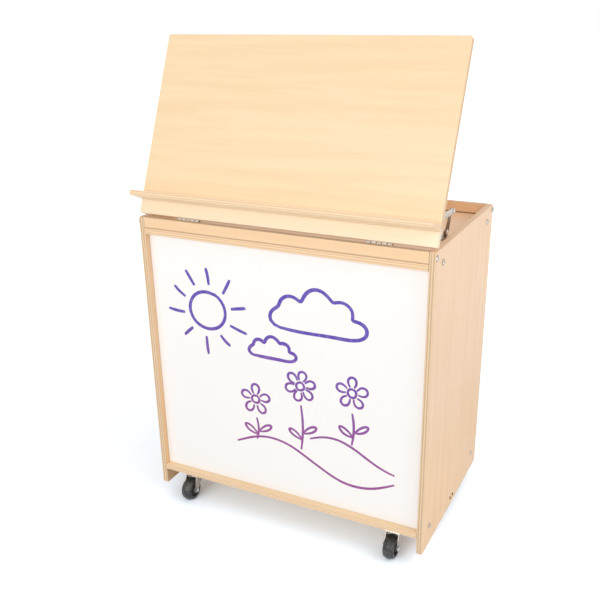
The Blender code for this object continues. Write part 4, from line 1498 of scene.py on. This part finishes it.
    @staticmethod
    def on_board(across: float, behind: float, rise: float) -> Vector:
        """Find a place on the leaning board.

        Args:
            across: X of the place.
            behind: distance behind the tilt axis, square to the board.
            rise: distance up the board from the tilt axis.

        Returns:
            The place.
        """
        offset = Vector(Axis.BOARD_BACK.value) * behind + Vector(Axis.BOARD_UP.value) * rise
        return TILT_AXIS + offset + Vector((across, 0.0, 0.0))


@dataclass
class StayCaps(Assembly):
    """Bright domed caps on the studs that the lower arms turn on."""

    metal: Material
    pivot: Triple = (273.8 * MM, -15.968 * MM, 634.7 * MM)
    dome: Sequence[Pair] = ((0.0, 1.5 * MM), (2.6 * MM, 1.46 * MM), (3.8 * MM, 1.1 * MM),
                            (4.7 * MM, 0.6 * MM), (5.2 * MM, 0.2 * MM), (5.2 * MM, 0.0), (0.0, 0.0))
    steps: int = 32

    def build(self) -> list[Piece]:
        """Turn one cap and set it on the stud at each side.

        Returns:
            The caps.
        """
        pattern = Bench.turned("cap_pattern", self.dome, self.steps)
        set_material(pattern, self.metal)
        across, depth, rise = self.pivot
        caps = []
        for side, sign in SIDES.items():
            place = Bench.outward(Vector((sign * across, depth, rise)), sign)
            cap = Bench.copy(pattern, f"stay_cap_{side}", place)
            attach(cap, "cabinet")
            caps.append(cap)
        Bench.discard(pattern)
        return caps


@dataclass
class Wheels(Assembly):
    """Caster wheels: crowned tyres on webbed hubs.

    The bead and the lip are given as steps from the tyre's inner radius or the hub's rim, and in from
    the side. The boss has its radius and its step in from the side, and the web its half thickness.
    """

    rubber: Material
    plastic: Material
    radius: float = 25.4 * MM
    half_width: float = 11.5 * MM
    crown: float = 1.6 * MM
    crown_shares: Sequence[float] = (0.75, 0.5, 0.25, 0.06)
    shoulder: float = 5.5 * MM
    shoulder_angles: Sequence[float] = tuple(range(80, -10, -10))
    tyre_thickness: float = 7.0 * MM
    bead: Sequence[Pair] = ((0.0, 0.0), (1.2 * MM, 0.0), (1.7 * MM, 0.5 * MM), (2.4 * MM, 0.5 * MM))
    hub_gap: float = 0.3 * MM
    boss: Sequence[Pair] = ((3.4 * MM, 0.0), (7.0 * MM, 0.0), (7.5 * MM, 0.5 * MM))
    web_at_boss: Sequence[Pair] = ((7.9 * MM, 5.0 * MM), (8.6 * MM, 4.5 * MM))
    web_at_rim: Sequence[Pair] = ((3.2 * MM, 4.5 * MM), (2.5 * MM, 5.2 * MM))
    lip: Sequence[Pair] = ((2.2 * MM, 0.4 * MM), (1.8 * MM, 0.0), (0.0, 0.0))
    steps: int = 72

    @staticmethod
    def mirrored(side: list[Pair]) -> list[Pair]:
        """Return a closed section from its right half."""
        return side + [(radius, -along) for radius, along in reversed(side)]

    def tyre_profile(self) -> list[Pair]:
        """Draw the tyre's section.

        Returns:
            Radius and X of each corner.
        """
        inner = self.radius - self.tyre_thickness
        tread = self.half_width - self.shoulder
        centre = self.radius - self.crown - self.shoulder
        side = [(inner + rise, self.half_width - step) for rise, step in self.bead]
        for angle in map(math.radians, self.shoulder_angles):
            side.append((centre + self.shoulder * math.cos(angle), tread + self.shoulder * math.sin(angle)))
        for share in self.crown_shares:
            side.append((self.radius - self.crown * share * share, tread * share))
        return self.mirrored(side)

    def hub_profile(self) -> list[Pair]:
        """Draw the hub's section.

        Returns:
            Radius and X of each corner.
        """
        rim = self.radius - self.tyre_thickness - self.hub_gap
        side = [(radius, self.half_width - step) for radius, step in self.boss]
        side += self.web_at_boss
        side += [(rim - inset, half) for inset, half in self.web_at_rim]
        side += [(rim - inset, self.half_width - step) for inset, step in self.lip]
        return self.mirrored(side)

    def build(self) -> list[Piece]:
        """Turn one tyre and one hub, and copy them to the four axles.

        Returns:
            The tyres and the hubs.
        """
        parts = (("tyre", self.tyre_profile(), self.rubber, Slot.TYRE),
                 ("hub", self.hub_profile(), self.plastic, Slot.HUB))
        pieces = []
        for part, profile, material, slot in parts:
            pattern = Bench.turned(f"{part}_pattern", profile, self.steps)
            set_material(pattern, material)
            for end in ENDS:
                for side in SIDES:
                    node = f"caster_{part}_{end}_{side}"
                    low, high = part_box(node)
                    place = Matrix.Translation((low + high) / 2)
                    piece = Bench.copy(pattern, f"wheel_{part}_{end}_{side}", place)
                    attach(piece, f"wheel_{end}_{side}")
                    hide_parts(node)
                    pieces.append(piece)
            Bench.discard(pattern)
        return pieces


@dataclass(frozen=True)
class Hill:
    """A rolling line: its left end, the step between its points, its level and its waves."""

    left: float
    pitch: float
    level: float
    height: float
    pace: float
    phase: float
    count: int

    def line(self) -> list[Pair]:
        """Return the points along the hill."""
        waves = [self.height * math.sin(self.pace * step + self.phase) for step in range(self.count)]
        return [(self.left + self.pitch * step, self.level + wave) for step, wave in enumerate(waves)]


@dataclass
class MarkerDrawing(Assembly):
    """A loose marker drawing of a sun, two clouds, hills and flowers on the white front.

    The figures are laid out in millimetres right and up from the panel's middle, and the outlines of
    a cloud, a petal and a leaf from their own start.
    """

    ink: Material
    centre: Triple = (0.0, -167.4 * MM, 345.0 * MM)
    width: float = 5.4 * MM
    film: float = 0.16 * MM
    path_steps: int = 4
    round_steps: int = 2
    bold: float = 1.35
    end_width: float = 0.72
    wobble: Pair = (0.7, 2.3)
    swell: Pair = (0.1, 1.7)
    ring_start: float = 0.9
    ring_overlap: float = 0.25
    ring_steps: int = 16
    sun_place: Pair = (-165.0, 118.0)
    sun_size: Pair = (43.0, 41.0)
    ray_count: int = 10
    ray_start: float = 0.2
    ray_bend: float = 0.03
    ray_reaches: Sequence[float] = (56.0, 66.0, 76.0, 88.0, 90.0)
    ray_swing: Pair = (6.0, 3.0)
    hills: Sequence[Hill] = (Hill(-110.0, 25.0, -172.0, 34.0, 0.42, 0.2, 15),
                             Hill(60.0, 20.0, -132.0, 26.0, 0.45, 0.5, 10))
    cloud_outline: Sequence[Pair] = (
        (-0.75, 0.0), (-1.0, 0.05), (-1.06, 0.28), (-0.86, 0.42), (-0.8, 0.44), (-0.78, 0.62), (-0.55, 0.74),
        (-0.36, 0.6), (-0.32, 0.57), (-0.24, 0.85), (0.06, 0.95), (0.3, 0.72), (0.32, 0.66), (0.5, 0.76),
        (0.74, 0.62), (0.72, 0.42), (0.7, 0.38), (0.94, 0.4), (1.06, 0.2), (0.92, 0.02), (0.6, -0.02),
        (0.2, 0.01), (-0.3, -0.02), (-0.72, 0.0), (-0.8, 0.02))
    bloom: float = 9.0
    petal: Sequence[Pair] = ((12.0, -4.0), (20.0, -10.0), (31.0, -9.0), (36.0, 0.0), (31.0, 9.0),
                             (20.0, 10.0), (12.0, 4.0))
    petal_start: float = 0.3
    stem_gap: float = 42.0
    stem_bend: Pair = (5.0, 3.0)
    stem_shares: Sequence[float] = (0.0, 0.2, 0.4, 0.6, 0.8, 1.0)
    leaf: Sequence[Pair] = ((2.0, 0.0), (12.0, 14.0), (26.0, 20.0), (34.0, 20.0), (28.0, 8.0), (16.0, 1.0),
                            (3.0, -1.0))
    leaf_shift: float = 4.0
    leaf_shares: Mapping[float, float] = field(default_factory=lambda: {-1.0: 0.25, 1.0: 0.4})

    def stroke(self, points: Sequence[Pair], broad: float) -> Piece:
        """Lay one stroke of ink along a path.

        Args:
            points: right and up of each point.
            broad: the stroke's width as a share of the usual one.

        Returns:
            The stroke, as a thin film on the panel.
        """
        Bench.clear()
        bpy.ops.curve.primitive_nurbs_path_add()
        piece = bpy.context.object
        path = piece.data.splines[0]
        path.points.add(len(points) - len(path.points))
        ends = (0, len(points) - 1)
        for number, (point, (right, up)) in enumerate(zip(path.points, points)):
            wobble = self.wobble[0] * math.sin(self.wobble[1] * number + right)
            swell = self.swell[0] * math.sin(self.swell[1] * number + up)
            point.co = (right * MM, 0.0, (up + wobble) * MM, 1.0)
            point.radius = self.end_width if number in ends else 1.0 + swell
        path.use_endpoint_u = True
        piece.data.resolution_u = self.path_steps
        piece.data.bevel_depth = broad * self.width / 2
        piece.data.bevel_resolution = self.round_steps
        piece.data.use_fill_caps = True
        Bench.hold(piece)
        bpy.ops.object.convert(target="MESH")
        piece.scale = (1.0, self.film / self.width, 1.0)
        piece.location = self.centre
        Bench.settle(piece)
        return piece

    def ring(self, right: float, up: float, wide: float, tall: float) -> list[Pair]:
        """List points round an ellipse, a little past its start.

        Args:
            right: its middle, to the right.
            up: its middle, upwards.
            wide: half width.
            tall: half height.

        Returns:
            The points.
        """
        turn = math.tau + self.ring_overlap
        angles = [self.ring_start + turn * step / self.ring_steps for step in range(self.ring_steps + 1)]
        return [(right + wide * math.cos(angle), up + tall * math.sin(angle)) for angle in angles]

    def sun(self) -> list[list[Pair]]:
        """Draw a round sun with its rays.

        Returns:
            The strokes' points.
        """
        right, up = self.sun_place
        amount, pace = self.ray_swing
        *near, far, tip = self.ray_reaches
        strokes = [self.ring(right, up, *self.sun_size)]
        for ray in range(self.ray_count):
            start = self.ray_start + ray * math.tau / self.ray_count
            swing = amount * math.sin(pace * ray)
            points = []
            for step, reach in enumerate((*near, far + swing, tip + swing)):
                angle = start + self.ray_bend * step * math.sin(ray)
                points.append((right + reach * math.cos(angle), up + reach * math.sin(angle)))
            strokes.append(points)
        return strokes

    def cloud(self, right: float, up: float, size: float) -> list[list[Pair]]:
        """Draw a cloud of five bumps over a flat foot.

        Args:
            right: its middle, to the right.
            up: its foot.
            size: half width.

        Returns:
            The stroke's points.
        """
        return [[(right + size * across, up + size * rise) for across, rise in self.cloud_outline]]

    def flower(self, right: float, foot: float, head: float, petals: int) -> list[list[Pair]]:
        """Draw a flower on a bent stem with two leaves.

        Args:
            right: its middle, to the right.
            foot: where its stem starts.
            head: the middle of its bloom.
            petals: number of petals.

        Returns:
            The strokes' points.
        """
        strokes = [self.ring(right, head, self.bloom, self.bloom)]
        for petal in range(petals):
            angle = self.petal_start + math.tau * petal / petals
            along = Vector((math.cos(angle), math.sin(angle)))
            aside = Vector((-along.y, along.x))
            places = [along * out + aside * over for out, over in self.petal]
            strokes.append([(right + place.x, head + place.y) for place in places])
        length = head - self.stem_gap - foot
        bend, pace = self.stem_bend
        strokes.append([(right + bend * math.sin(pace * share), foot + length * share)
                        for share in self.stem_shares])
        for sign, share in self.leaf_shares.items():
            low = foot + length * share
            strokes.append([(right + self.leaf_shift + sign * out, low + rise) for out, rise in self.leaf])
        return strokes

    def build(self) -> list[Piece]:
        """Draw every figure as one film of ink each.

        Returns:
            The figures.
        """
        figures = {"marker_sun": self.sun(),
                   "marker_cloud_large": self.cloud(right=78.0, up=108.0, size=100.0),
                   "marker_cloud_small": self.cloud(right=-20.0, up=40.0, size=52.0),
                   "marker_hills": [hill.line() for hill in self.hills],
                   "marker_flower_tall": self.flower(right=40.0, foot=-150.0, head=-8.0, petals=6),
                   "marker_flower_short": self.flower(right=150.0, foot=-112.0, head=0.0, petals=5),
                   "marker_flower_low": self.flower(right=-62.0, foot=-150.0, head=-58.0, petals=5)}
        pieces = []
        for name, strokes in figures.items():
            broad = self.bold if name.startswith(("marker_sun", "marker_cloud")) else 1.0
            piece = Bench.join([self.stroke(points, broad) for points in strokes], name)
            Bench.smooth(piece)
            set_material(piece, self.ink)
            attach(piece, "cabinet")
            pieces.append(piece)
        return pieces


def main() -> None:
    """Load the frame, set up the picture, dress the parts, add the pieces and report each one."""
    logging.basicConfig(level=logging.INFO, format="%(name)s: %(message)s")
    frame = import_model()
    nodes = frame["nodes"]
    groups = Groups()
    metals = {metal: metal.value.build(groups) for metal in Metal}
    rubber = Moulding.RUBBER.value.build(groups)
    plastic = Moulding.PLASTIC.value.build(groups)
    Studio().build()
    LOG.info("set the camera, the floor and the lamps")
    assemblies = (Cabinet(nodes, groups), DisplayBoard(nodes, groups), Hardware(nodes, metals),
                  AssemblyBolts(metals[Metal.DULL_ZINC]),
                  Screws(metals[Metal.DULL_ZINC], metals[Metal.BLACK_OXIDE]),
                  StayCaps(metals[Metal.SATIN_NICKEL]), Wheels(rubber, plastic),
                  MarkerDrawing(InkFinish().build()))
    for assembly in assemblies:
        for piece in assembly.build():
            LOG.info("%s: %s", type(assembly).__name__, piece.name)


if __name__ == "__main__":
    main()
